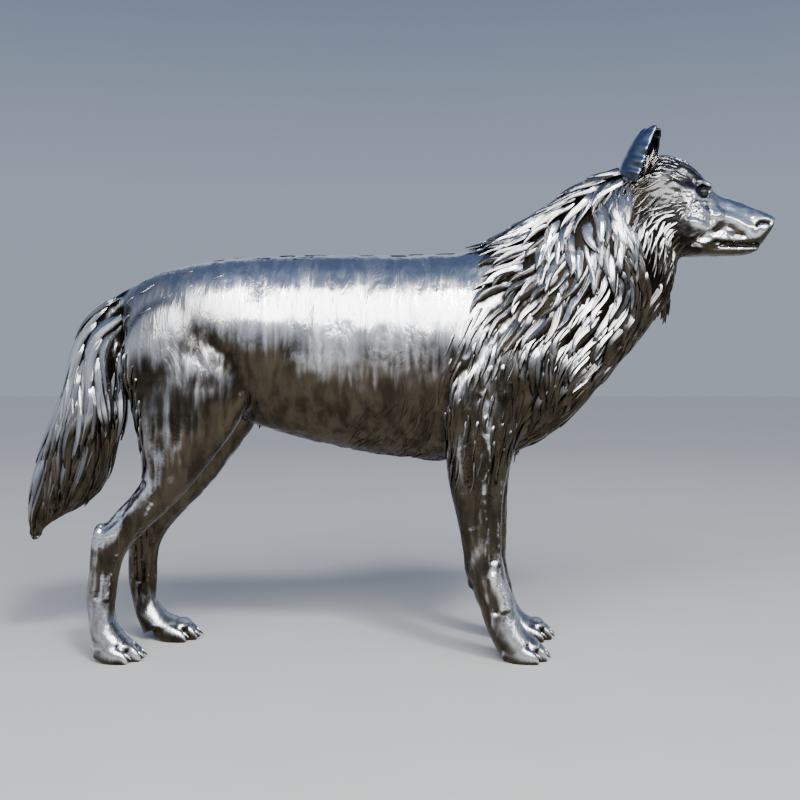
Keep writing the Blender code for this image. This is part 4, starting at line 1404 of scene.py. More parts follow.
@dataclass
class Head:
    """The head and the lower jaw, with the folds of the face.

    Attributes:
        voxel: The size of its faces.
        smoothing: How many times it is smoothed.
        strokes: The ridges and grooves of the face.
        dark: Deep places painted with shade, with how dark as their height.
        bright: Planes with a painted highlight, polished smoother too.
        dull: Stretches painted darker than the rest, a painted shade.
        beaded: Where the cheek is beaded with welds.
        pebbled: The ripple of the beads.
        broad: The ripple all over.
        drawn: The finer ripple, which fades along the muzzle.
        muzzle: The x between which it fades.
        hollow: How many times the skin is smoothed to find its hollows, and which depth is a full one.
        socket: The x, z, half length, half height and depth of the eye socket.
    """

    voxel: float = 0.0019
    smoothing: int = 22
    strokes: tuple[Stroke, ...] = strokes_of(
        (14, 20, 0.0045, 600, 1050, 622, 1038, 640, 1024, 660, 1018),
        (7, 30, 0.003, 628, 1020, 648, 1019, 664, 1012), (17, 30, 0.004, 575, 1012, 604, 1004, 622, 998),
        (9, 30, 0.0022, 622, 984, 645, 982, 668, 986), (16, 16, -0.0012, 674, 992, 690, 974, 700, 962),
        (19, 10, 0.0034, 668, 952, 700, 949, 728, 938, 748, 926, 760, 912),
        (15, 10, -0.0036, 678, 919, 690, 927, 704, 933, 724, 923, 740, 914),
        (13, 20, 0.0042, 606, 935, 628, 932, 652, 924, 668, 930),
        (13, 20, -0.0022, 612, 912, 634, 910, 648, 905),
        (5.8, 4, -0.0058, 682, 895, 700, 893.8, 740, 891.2, 780, 890),
        (5.8, 10, 0.0016, 686, 885, 708, 883.8, 726, 883), (5.2, 8, 0.0012, 740, 882.8, 764, 883.2),
        (6.8, 10, 0.001, 690, 903, 720, 901.2, 756, 900),
        (7.8, 4, -0.0046, 772, 933, 780, 939, 790, 941, 800, 938),
        (8.5, 4, 0.0009, 766, 947, 780, 953, 798, 951),
    )
    dark: tuple[Stroke, ...] = strokes_of(
        (5.6, 2, 1.3, 676, 896, 700, 893.8, 740, 891.2, 782, 890),
        (6.2, 3, 1.25, 770, 932, 780, 938.5, 790, 940, 800, 937),
        (4.2, 30, 0.9, 628, 1000, 646, 1012.5, 664, 999),
    )
    bright: tuple[Stroke, ...] = strokes_of(
        (28, 0, 1.3, 664, 962, 705, 950, 742, 932, 766, 912), (22, 0, 1.7, 612, 932, 640, 926, 662, 914),
        (32, 0, 1, 566, 985, 606, 1004), (14, 0, 0.8, 612, 1046, 634, 1026),
    )
    dull: tuple[Stroke, ...] = strokes_of(
        (26, 0, 1.1, 620, 886, 650, 892, 678, 892),
        (12, 0, 1, 668, 908, 690, 924, 708, 928, 730, 912, 760, 899),
        (12, 0, 0.8, 640, 874, 700, 871, 770, 872), (12, 0, 1.2, 808, 932, 796, 912, 784, 900),
        (12, 0, 0.5, 750, 984, 790, 966),
    )
    beaded: tuple[Stroke, ...] = strokes_of((40, 10, 1.4, 606, 975, 640, 972, 666, 962))
    pebbled: Ripple = Ripple((0.0075, 0.0075, 0.0064), 0.0005, 5.0)
    broad: Ripple = Ripple((0.026, 0.026, 0.020), 0.0009, 9.0)
    drawn: Ripple = Ripple((0.0115, 0.0115, 0.0060), 0.00045, 13.0)
    muzzle: Pair = (0.68, 0.73)
    hollow: Pair = (16, 0.0010)
    socket: tuple[float, ...] = (0.6460, 1.0005, 0.0190, 0.0140, 0.0065)

    def in_socket(self, places: np.ndarray) -> np.ndarray:
        """How much places lie in the eye sockets, which have pointed corners.

        Args:
            places: The places.

        Returns:
            From 0 to 1 for each.
        """
        x, z, half, high, _ = self.socket
        almond = np.abs((places[:, 0] - x) / half) ** 1.5 + np.abs((places[:, 2] - z) / high) ** 1.6
        return (1 - eased(almond, 0.75, 1.15)) * (np.abs(places[:, 1]) > 0.03)

    def build(self, coat: "Coat", finish: Material) -> None:
        """Build and dress the head.

        Args:
            coat: The coat that covers a part of it.
            finish: Its steel.
        """
        lofts = [Loft(SKULL, 48, 4), Loft(JAW, 32, 4), Loft(PALATE, 20)]
        item = object_of(joined(lofts, HEAD_SWELLINGS), "head")
        fuse(item, self.voxel, self.smoothing)
        mesh = item.data
        worked(mesh, self.strokes)
        places = places_of(mesh)
        socket = self.in_socket(places)
        move_to(mesh, places - normals_of(mesh) * (socket * self.socket[-1])[:, None])
        places = places_of(mesh)
        cheek = np.clip(felt_most(places, self.beaded), 0, 1)
        self.pebbled.work(mesh, cheek * (1 - socket))
        self.broad.work(mesh, 1 - socket)
        self.drawn.work(mesh, (1 - socket) * (1 - 0.7 * eased(places[:, 0], *self.muzzle)))
        # Painted shade in the deep places, the eye sockets and under the locks; painted highlight on the
        # bright planes and painted shade on the dull stretches.
        dark = np.maximum(felt_most(places, self.dark), socket * 0.96)
        gap = np.clip(np.maximum(dark, coat.covering(places) * 0.9), 0, 1)
        polish = felt_most(places, self.bright) - felt_most(places, self.dull)
        mark(mesh, gap=gap, weld=cheek, hollow=0.5 * hollows(mesh, *self.hollow), polish=polish)
        mesh.shade_smooth()
        dressed(item, finish)


def flipped(bm: BMesh, side: Side) -> None:
    """Mirror a part made on the right where it is for the left, and turn its faces outwards."""
    bmesh.ops.scale(bm, vec=(1, 1 if side is Side.RIGHT else -1, 1), verts=bm.verts)
    bmesh.ops.recalc_face_normals(bm, faces=bm.faces)


@dataclass
class Ear:
    """A cupped ear of bent plate with a rolled rim, open to the front and a little to the side.

    Attributes:
        side: Its side.
        base: The middle of its root, on the right side.
        tip: Its tip, on the right side.
        left_base: How far the left root is moved.
        left_tip: How far the left tip is moved.
        left_depth: How deep the left one is against the right one.
        turn: How far it is turned outwards, in degrees.
        rows: Each row as its half width, depth, lean and share of the height.
        ragged: How uneven its rim is, as a share of its half width.
        curl: How far the rim rolls in, as a share of it.
        notch: Where along a row its notch is, how wide it is and how deep.
        point: From which share of the height the ear draws to its point, and how much.
        wall: The thickness of its plate.
        cup: How far from its axis the painted shade inside begins and is deepest.
        columns: The faces along a row.
    """

    side: Side
    base: Triple = (0.506, -0.050, 1.020)
    tip: Triple = (0.5450, -0.066, 1.1365)
    left_base: Triple = (0.024, 0.0, 0.0)
    left_tip: Triple = (0.012, 0.0, 0.015)
    left_depth: float = 0.74
    turn: float = 32.0
    rows: Rows = metres((
        (38, 44, 2, -0.03), (44, 52, 3, 0.06), (44, 55, 4, 0.20), (39, 51, 5, 0.42),
        (32, 45, 6, 0.64), (24, 38, 6, 0.83), (19, 33, 5, 0.94), (13, 26, 4, 1.00),
    ), 1)
    ragged: float = 0.17
    curl: float = 0.10
    notch: Triple = (0.74, 0.08, 0.050)
    point: Pair = (0.60, 0.085)
    wall: float = 0.006
    cup: Pair = (0.010, 0.030)
    columns: int = 20

    def plate(self, base: Vector, tip: Vector) -> BMesh:
        """The plate of a right ear.

        Args:
            base: The middle of its root.
            tip: Its tip.

        Returns:
            Its bmesh.
        """
        left = self.side is Side.LEFT
        up, height = (tip - base).normalized(), (tip - base).length
        turn = math.radians(self.turn)
        front = Vector((math.cos(turn), -math.sin(turn), 0))
        front = (front - up * front.dot(up)).normalized()
        out = up.cross(front).normalized()
        rows = between(self.rows, 3)
        bm = bmesh.new()
        bmesh.ops.create_grid(bm, x_segments=self.columns, y_segments=len(rows) - 1, size=1.0)
        for vert in bm.verts:
            u = (vert.co.x + 1) / 2
            half, depth, lean, t = rows[round((vert.co.y + 1) / 2 * (len(rows) - 1))]
            depth *= self.left_depth if left else 1.0
            angle = math.pi * u
            ragged = noise.noise(Vector((13 * t, 2.0 * round(u), 7.7 if left else 0.3)))
            half *= 1 + self.ragged * ragged * abs(math.cos(angle)) ** 3
            curl = self.curl * half * math.cos(2 * angle)
            middle, width, deep = self.notch
            cut = deep * math.exp(-(((u - middle) / width) ** 2)) + self.point[1] * math.sin(angle) ** 2
            cut *= max(t - self.point[0], 0.0) / (1 - self.point[0])
            centre = base + up * height * (t - cut) + front * (0.30 * depth - lean)
            vert.co = centre + out * (half * math.cos(angle)) - front * (depth * math.sin(angle) - curl)
        bmesh.ops.recalc_face_normals(bm, faces=bm.faces)
        bmesh.ops.solidify(bm, geom=bm.faces[:], thickness=self.wall)
        return bm

    def build(self, finish: Material) -> None:
        """Build and dress the ear, with painted shade inside.

        Args:
            finish: Its steel.
        """
        base, tip = Vector(self.base), Vector(self.tip)
        if self.side is Side.LEFT:
            base += Vector(self.left_base)
            tip += Vector(self.left_tip)
        bm = self.plate(base, tip)
        flipped(bm, self.side)
        item = object_of(bm, f"ear_{self.side.word}")
        rounded = item.modifiers.new("round", "SUBSURF")
        rounded.levels = rounded.render_levels = 2
        settle(item)
        mesh = item.data
        places = places_of(mesh)
        flip = (1, -self.side.value, 1)
        foot, rise = np.array(base) * flip, np.array((tip - base).normalized()) * flip
        away = foot[None] + np.outer((places - foot) @ rise, rise) - places
        inward = (normals_of(mesh) * away).sum(axis=1) > 0
        depth = eased(np.hypot(*away[:, :2].T), *self.cup)
        # Painted shade inside the cup of the ear.
        mark(mesh, gap=inward * (0.55 + 0.35 * depth))
        mesh.shade_smooth()
        dressed(item, finish)


@dataclass
class Eye:
    """An eye in its socket with its two lids.

    Attributes:
        side: Its side.
        centre: Its middle, on the right side.
        size: Its half sizes.
        turn: How far it is turned towards the nose, in degrees.
        rims: The lids, as how high one arches and how thick it is.
        steps: The pieces of a lid.
        corner: The half sizes of the bead in the front corner.
    """

    side: Side
    centre: Triple = (0.6460, -0.0466, 1.0000)
    size: Triple = (0.0150, 0.0076, 0.0092)
    turn: float = 26.0
    rims: tuple[Pair, Pair] = ((1.06, 0.0013), (-1.00, 0.0010))
    steps: int = 16
    corner: Triple = (0.0022, 0.0020, 0.0022)

    def place(self) -> Matrix:
        """Where the right eye stands and how it is turned."""
        return Matrix.Translation(self.centre) @ Matrix.Rotation(-math.radians(self.turn), 4, "Z")

    def ball(self, finish: Material) -> None:
        """Build and dress the eyeball.

        Args:
            finish: Its glass.
        """
        bm = bmesh.new()
        turn = Matrix.Rotation(math.radians(90), 4, "X")
        bmesh.ops.create_uvsphere(bm, u_segments=48, v_segments=32, radius=1.0)
        bmesh.ops.transform(bm, matrix=turn, verts=bm.verts)
        wide, _, high = (80 * half for half in self.size)
        rings = np.array([math.hypot(vert.co.x * wide, vert.co.z * high) for vert in bm.verts])
        outer = [vert.co.y < 0 for vert in bm.verts]
        bmesh.ops.transform(bm, matrix=self.place() @ Matrix.Diagonal((*self.size, 1)), verts=bm.verts)
        flipped(bm, self.side)
        item = object_of(bm, f"eye_{self.side.word}_ball")
        mark(item.data, ring=np.where(outer, rings / 1.2, 1.0))
        item.data.shade_smooth()
        dressed(item, finish, f"eye_{self.side.word}")

    def lids(self, finish: Material) -> None:
        """Build and dress the upper and the lower lid.

        Args:
            finish: Their steel.
        """
        bm = bmesh.new()
        place = self.place()
        wide, deep, high = self.size
        lean = Matrix.Rotation(math.radians(90), 4, "Y")
        for arch, thick in self.rims:
            rings = []
            for angle in (math.pi * step / self.steps for step in range(self.steps + 1)):
                bow = math.sin(angle)
                x, z = -1.30 * wide * math.cos(angle), arch * high * bow**1.5
                centre = Matrix.Translation((x, -deep * (0.10 + 0.42 * bow**0.7), z))
                steer = Matrix.Rotation(-math.copysign(1, arch) * (math.pi / 2 - angle) * 0.8, 4, "Y")
                rings.append(ring_at(bm, 10, place @ centre @ steer @ lean, thick * (0.35 + 0.65 * bow)))
            skin_over(bm, rings)
        lids = len(bm.verts)
        add_ball(bm, tuple(place @ Vector((1.34 * wide, -0.0030, 0.0))), self.corner)
        flipped(bm, self.side)
        item = object_of(bm, f"eye_{self.side.word}_lids")
        # The lids are painted dark as shade, the corner bead isn't.
        mark(item.data, gap=np.where(np.arange(len(item.data.vertices)) < lids, 0.92, 0.0))
        item.data.shade_smooth()
        dressed(item, finish)


# ---- The coat ----


@dataclass(frozen=True)
class Stretch:
    """A stretch of locks of one kind.

    Attributes:
        name: The piece's name.
        outline: Where its roots lie, in the middle plane.
        spacing: The least distance between two roots.
        length: The least and the greatest length of a lock.
        half: The least and the greatest half width.
        rise: How high the ridge stands, as a share of the half width.
        lift: How far the tips stand off, least and greatest.
        curl: How much a lock winds, in degrees.
        roll: How far a lock leans over, in degrees.
        seed: The seed of its chance.
        least_y: How near the middle plane the roots may be.
        thin: The share of locks that are only half as wide.
        shine: How mirror-bright the locks are, from 0 to 1, a smoother polish and a painted highlight, below
            0 a painted shade.
        shadow: How dark their roots are.
    """

    name: str
    outline: Rows
    spacing: float
    length: Pair
    half: Pair
    rise: float
    lift: Pair
    curl: float
    roll: float
    seed: int
    least_y: float = 0.0
    thin: float = 0.0
    shine: float = 0.0
    shadow: float = 0.75


@dataclass(frozen=True)
class Tuft:
    """A bunch of free locks that hangs clear of the body.

    Attributes:
        root: Where it leaves the body.
        way: The way it hangs, in degrees.
        length: The length of its longest lock.
        half: The half width of a lock.
        locks: How many locks it has.
        spread: How far they fan out, in degrees.
    """

    root: Triple
    way: float
    length: float
    half: float
    locks: int
    spread: float = 14.0


LONG_LOCKS = (
    Stretch(
        "mane", MANE_ROOTS, 0.0182, (0.096, 0.155), (0.0080, 0.0135), 0.66, (0.004, 0.012),
        curl=26, roll=26, seed=11, thin=0.30,
    ),
    Stretch(
        "ruff", RUFF_ROOTS, 0.0100, (0.062, 0.110), (0.0024, 0.0047), 0.80, (0.001, 0.005),
        curl=26, roll=20, seed=12, least_y=0.012, thin=0.2, shine=-0.25, shadow=0.90,
    ),
    Stretch(
        "brow_strokes", BROW_ROOTS, 0.0118, (0.028, 0.055), (0.0024, 0.0046), 0.5, (0.0003, 0.0015),
        curl=34, roll=12, seed=13, thin=0.2, shadow=0.25,
    ),
    Stretch(
        "throat", THROAT_ROOTS, 0.0110, (0.050, 0.085), (0.0030, 0.0050), 0.8, (0.002, 0.006),
        curl=12, roll=18, seed=14,
    ),
    Stretch(
        "tail_locks", TAIL_ROOTS, 0.0210, (0.160, 0.260), (0.0095, 0.0140), 0.62, (0.004, 0.012),
        curl=13, roll=22, seed=15, thin=0.2, shine=1.6,
    ),
)
SHORT_STROKES = (
    Stretch(
        "shoulder_strips", SHOULDER_ROOTS, 0.0215, (0.055, 0.100), (0.0036, 0.0062), 0.42, (0.0003, 0.002),
        curl=14, roll=14, seed=16, least_y=0.04, thin=0.2, shine=-0.5,
    ),
    Stretch(
        "breeches", BREECH_ROOTS, 0.0150, (0.045, 0.080), (0.0028, 0.0050), 0.7, (0.001, 0.004),
        curl=10, roll=16, seed=18,
    ),
    Stretch(
        "belly_strokes", BELLY_ROOTS, 0.0190, (0.050, 0.095), (0.0026, 0.0046), 0.45, (0.0002, 0.001),
        curl=20, roll=10, seed=19, least_y=0.03, thin=0.2, shine=-0.5, shadow=0.3,
    ),
    Stretch(
        "spine_strips", SPINE_ROOTS, 0.0420, (0.045, 0.080), (0.0045, 0.0070), 0.26, (0.0003, 0.001),
        curl=6, roll=6, seed=20, shine=-0.3,
    ),
    Stretch(
        "cheek_strokes", CHEEK_ROOTS, 0.0088, (0.020, 0.040), (0.0019, 0.0034), 0.62, (0.0003, 0.0010),
        curl=30, roll=14, seed=17, least_y=0.02, thin=0.2, shine=0.3, shadow=0.5,
    ),
    Stretch(
        "rump_strokes", RUMP_ROOTS, 0.0460, (0.030, 0.055), (0.0026, 0.0042), 0.34, (0.0003, 0.001),
        curl=14, roll=8, seed=21, thin=0.2, shadow=0.2,
    ),
)
TUFTS = {
    "throat_tufts": (
        Tuft((0.586, -0.006, 0.798), 262, 0.088, 0.0085, 5, 22),
        Tuft((0.576, 0.018, 0.788), 256, 0.076, 0.0085, 4, 18),
        Tuft((0.568, -0.026, 0.784), 252, 0.064, 0.0085, 5, 24),
        Tuft((0.588, 0.006, 0.838), 266, 0.074, 0.0085, 4, 16),
    ),
    "ear_tufts": tuple(
        Tuft((x, side.value * y, z), way, length, 0.0042, 5, 34)
        for side in Side
        for x, y, z, way, length in (
            (0.514, 0.082, 1.024, 78, 0.060),
            (0.526, 0.072, 1.034, 62, 0.056),
            (0.530, 0.052, 1.048, 70, 0.052),
        )
    ),
    "belly_tufts": (
        Tuft((-0.306, 0.000, 0.520), 262, 0.034, 0.0055, 3),
        Tuft((-0.292, 0.006, 0.514), 282, 0.028, 0.0055, 2),
        Tuft((-0.318, -0.004, 0.522), 248, 0.026, 0.0055, 2),
    ),
    "tail_tufts": (
        Tuft((-0.650, -0.008, 0.425), 247, 0.125, 0.0100, 3, 10),
        Tuft((-0.676, 0.006, 0.384), 238, 0.090, 0.0095, 3, 12),
        Tuft((-0.706, -0.004, 0.350), 228, 0.070, 0.0090, 2, 10),
        Tuft((-0.606, 0.004, 0.610), 274, 0.070, 0.0070, 2, 8),
        Tuft((-0.616, 0.000, 0.530), 268, 0.075, 0.0075, 2, 8),
        Tuft((-0.630, -0.004, 0.475), 258, 0.075, 0.0080, 2, 8),
    ),
}


class Blade:
    """One leaf-shaped lock, straight and of unit size, which all locks are copies of."""

    RINGS = 9
    # Across and up for each of the six points round a lock
    PROFILE = ((-1.0, 0.0), (-0.50, 0.46), (0.12, 1.0), (0.66, 0.58), (1.0, 0.0), (0.0, -1.0))
    # Its half width and its ridge along it
    LEAF = np.array((0.12, 0.58, 0.88, 1.0, 0.99, 0.92, 0.79, 0.59, 0.34, 0.02))
    RIDGE = np.array((0.20, 0.55, 0.85, 1.0, 1.0, 0.94, 0.82, 0.64, 0.40, 0.08))

    def __init__(self) -> None:
        """Build the blade."""
        bm = bmesh.new()
        bmesh.ops.create_cone(bm, cap_ends=True, segments=6, radius1=1, radius2=1, depth=1)
        sides = [edge for edge in bm.edges if abs(edge.verts[0].co.z - edge.verts[1].co.z) > 0.5]
        bmesh.ops.subdivide_edges(bm, edges=sides, cuts=self.RINGS - 1, use_grid_fill=True)
        bmesh.ops.recalc_face_normals(bm, faces=bm.faces)
        self.rings = np.array([round((vert.co.z + 0.5) * self.RINGS) for vert in bm.verts])
        angles = (math.atan2(vert.co.y, vert.co.x) / math.pi for vert in bm.verts)
        turns = [round((angle * 3 + 0.5) % 6) % 6 for angle in angles]
        for edge in bm.edges:
            first, second = (turns[vert.index] for vert in edge.verts)
            edge.smooth = not (first == second and first in (0, 2, 4))
        self.mesh = mesh_of(bm, "blade")
        self.across, self.up = np.array(self.PROFILE)[turns].T

    def copies(self, count: int) -> Mesh:
        """Many copies in one mesh, which is doubled over and over.

        Args:
            count: How many.

        Returns:
            The mesh, with the copies in order.
        """
        bm = bmesh.new()
        block = self.mesh.copy()
        while count:
            if count & 1:
                bm.from_mesh(block)
            count >>= 1
            if count:
                twice = bmesh.new()
                twice.from_mesh(block)
                twice.from_mesh(block)
                twice.to_mesh(block)
                twice.free()
        bpy.data.meshes.remove(block)
        return mesh_of(bm, "locks")


class Coat:
    """The locks, grown along the form."""

    # The heights between which polished locks begin to shine, with a painted highlight
    SHINING = (0.40, 0.62)
    # How near the locks the skin is fully and not at all in their shade, outside the mane and under it
    SHADE = (0.011, 0.024)
    MANE_SHADE = (0.026, 0.050)

    def __init__(self, form: Form) -> None:
        """Start the coat.

        Args:
            form: The form that it follows.
        """
        self.form = form
        self.blade = Blade()
        self.covers: list[np.ndarray] = []
        self.shade: KDTree | None = None

    def traced(
        self, start: Vector, length: float, curl: float, phase: float
    ) -> tuple[np.ndarray, np.ndarray]:
        """Follow the lie of the coat over the skin.

        Args:
            start: Where the lock begins.
            length: How long it is.
            curl: How much it winds, in radians.
            phase: Where in its winding it begins.

        Returns:
            Its points and the skin's normals there.
        """
        nearest, lie, steps = self.form.tree.find_nearest, self.form.lie, Blade.RINGS
        point, normal = nearest(start)[:2]
        points, normals = [point], [normal]
        way = lie(point)
        for i in range(steps):
            way = (way * 0.45 + lie(point) * 0.55).normalized()
            flat = (way - normal * way.dot(normal)).normalized()
            wind = curl * math.sin(2 * math.pi * (0.9 * i / steps + phase))
            flat.rotate(Matrix.Rotation(wind, 3, normal))
            point, normal = nearest(point + flat * length / steps)[:2]
            points.append(point)
            normals.append(normal)
        normals = np.array(normals)
        soft = normals.copy()
        soft[1:-1] += normals[:-2] + normals[2:]
        soft /= np.linalg.norm(soft, axis=1, keepdims=True)
        points = np.array(points)
        points[1:-1] = 0.5 * points[1:-1] + 0.25 * (points[:-2] + points[2:])
        return points, soft

    def shaped(
        self, points: np.ndarray, normals: np.ndarray, half: float, rise: float, lift: float, roll: float
    ) -> np.ndarray:
        """The places of one lock's vertices.

        Args:
            points: The points it follows.
            normals: The skin's normals there.
            half: Its half width.
            rise: How high its ridge stands.
            lift: How far its tip stands off.
            roll: How far it leans over, in radians.

        Returns:
            A place for each vertex of the blade.
        """
        t = np.linspace(0, 1, len(points))
        along = np.gradient(points, axis=0)
        along /= np.linalg.norm(along, axis=1, keepdims=True) + 1e-12
        across = np.cross(normals, along)
        across /= np.linalg.norm(across, axis=1, keepdims=True) + 1e-12
        turn = roll * (0.4 + 0.6 * t)[:, None]
        side = across * np.cos(turn) + normals * np.sin(turn)
        up = normals * np.cos(turn) - across * np.sin(turn)
        sunk = (0.003 + 1.15 * rise) * (1 - eased(t, 0.0, 0.35))
        off = lift * eased(t, 0.25, 1.0) - sunk
        under = 0.0035 * (1 - t) + 0.0012
        r, high = self.blade.rings, self.blade.up
        height = np.where(high >= 0, high * (rise * Blade.RIDGE)[r], -under[r]) + off[r]
        wide = self.blade.across * half * Blade.LEAF[r]
        return points[r] + side[r] * wide[:, None] + up[r] * height[:, None]

    def finished(
        self, name: str, places: list[np.ndarray], tones: list[float], look: Pair, finish: Material
    ) -> None:
        """Dress one piece of many locks.

        Args:
            name: The piece's name.
            places: The places of each lock's vertices.
            tones: A number for each lock.
            look: How mirror-bright they are, as a painted highlight, and how dark the painted shadow at their
                roots is.
            finish: Their steel.
        """
        blade, count = self.blade, len(places)
        shine, shadow = look
        mesh = blade.copies(count)
        move_to(mesh, np.concatenate(places))
        item = placed(name, mesh)
        along = blade.rings / Blade.RINGS
        # Painted shade on the edges, the undersides and the roots of the locks; the shine is painted light in
        # their colour.
        dark = np.maximum(np.abs(blade.across) ** 4 * 0.65, shadow * (1 - eased(along, 0.02, 0.30)))
        each = {"gap": np.where(blade.up < 0, 1.0, dark), "across": blade.across, "along": along}
        mark(mesh, **{label: np.tile(values, count) for label, values in each.items()})
        mark(mesh, tone=np.repeat(np.array(tones), len(blade.rings)))
        mark(mesh, polish=shine * eased(places_of(mesh)[:, 2], *self.SHINING))
        mesh.polygons.foreach_set("use_smooth", np.ones(len(mesh.polygons), bool))
        LOG.info("%s: %d locks", name, count)
        dressed(item, finish)

    def grow(self, stretch: Stretch, finish: Material) -> None:
        """Grow and dress one stretch of locks.

        Args:
            stretch: The stretch.
            finish: Its steel.
        """
        chance = random.Random(stretch.seed)
        places, tones = [], []
        for seed in self.form.seeds(stretch.outline, stretch.spacing, chance):
            if abs(seed[1]) < stretch.least_y:
                continue
            length = chance.uniform(*stretch.length)
            phase = 0.30 + 0.9 * noise.noise(Vector(seed) * 7.5) + 0.16 * chance.uniform(-1.0, 1.0)
            curl = math.radians(stretch.curl) * chance.uniform(0.6, 1.0)
            points, normals = self.traced(Vector(seed), length, curl, phase)
            half = chance.uniform(*stretch.half) * (0.5 if chance.random() < stretch.thin else 1.0)
            roll = math.radians(stretch.roll) * chance.uniform(-1.0, 1.0)
            lift = chance.uniform(*stretch.lift)
            rise = stretch.rise * half * chance.uniform(0.75, 1.15)
            places.append(self.shaped(points, normals, half, rise, lift, roll))
            tones.append(chance.random() * (1 - 0.55 * float(eased(points[0][2], 0.93, 1.03))))
            self.covers.extend(points[1:-3])
        self.finished(stretch.name, places, tones, (stretch.shine, stretch.shadow), finish)

    def hang(self, name: str, tufts: tuple[Tuft, ...], finish: Material) -> None:
        """Hang and dress some bunches of free locks.

        Args:
            name: The piece's name.
            tufts: The bunches.
            finish: Their steel.
        """
        chance = random.Random(name)
        places, tones = [], []
        t = np.linspace(0, 1, Blade.RINGS + 1)
        for tuft, i in ((tuft, i) for tuft in tufts for i in range(tuft.locks)):
            share = (i + 0.5) / tuft.locks - 0.5
            length = tuft.length * (1 - 0.45 * abs(share) - 0.15 * chance.random())
            bend = math.radians(chance.uniform(8, 22)) * (1 if share > 0 else -1)
            turns = math.radians(tuft.way + share * tuft.spread) + bend * (t - 0.5)
            steps = np.stack([np.cos(turns), 0.10 * share * np.ones(len(t)), np.sin(turns)], axis=1)
            root = np.array(tuft.root) + (0.006 * share, 0.010 * share, 0)
            points = root + np.cumsum(steps, axis=0) * length / len(t)
            facing = np.tile((0.15 * share, -1.0, 0.1), (len(t), 1))
            half = tuft.half * chance.uniform(0.55, 0.8)
            places.append(self.shaped(points, facing, half, 0.7 * half, 0.0, chance.uniform(-0.4, 0.4)))
            tones.append(chance.random())
        self.finished(name, places, tones, (0.0, Stretch.shadow), finish)

    def covering(self, places: np.ndarray) -> np.ndarray:
        """How much places lie under the locks, in their painted shade.

        Args:
            places: The places.

        Returns:
            From 0 to 1 for each.
        """
        if self.shade is None:
            self.shade = KDTree(len(self.covers))
            for i, point in enumerate(self.covers):
                self.shade.insert(point, i)
            self.shade.balance()
        away = np.array([self.shade.find(place)[2] for place in places])
        inside = within(MANE_ROOTS, places[:, 0], places[:, 2])
        return np.maximum(1 - eased(away, *self.SHADE), inside * (1 - eased(away, *self.MANE_SHADE)))


# ---- The studio ----


@dataclass(frozen=True)
class Softbox:
    """A rectangular lamp.

    Attributes:
        name: Its name.
        place: Where it hangs.
        aim: The point it shines at.
        size: Its width and height.
        power: Its power in watts.
        colour: Its colour.
    """

    name: str
    place: Triple
    aim: Triple
    size: Pair
    power: float
    colour: Triple

    def hang(self) -> None:
        """Hang it in the scene."""
        data = bpy.data.lights.new(self.name, "AREA")
        data.shape = "RECTANGLE"
        data.size, data.size_y = self.size
        data.energy = self.power
        data.color = self.colour
        item = placed(self.name, data)
        item.location = self.place
        item.rotation_euler = (Vector(self.aim) - Vector(self.place)).to_track_quat("-Z", "Y").to_euler()
        item.visible_camera = False


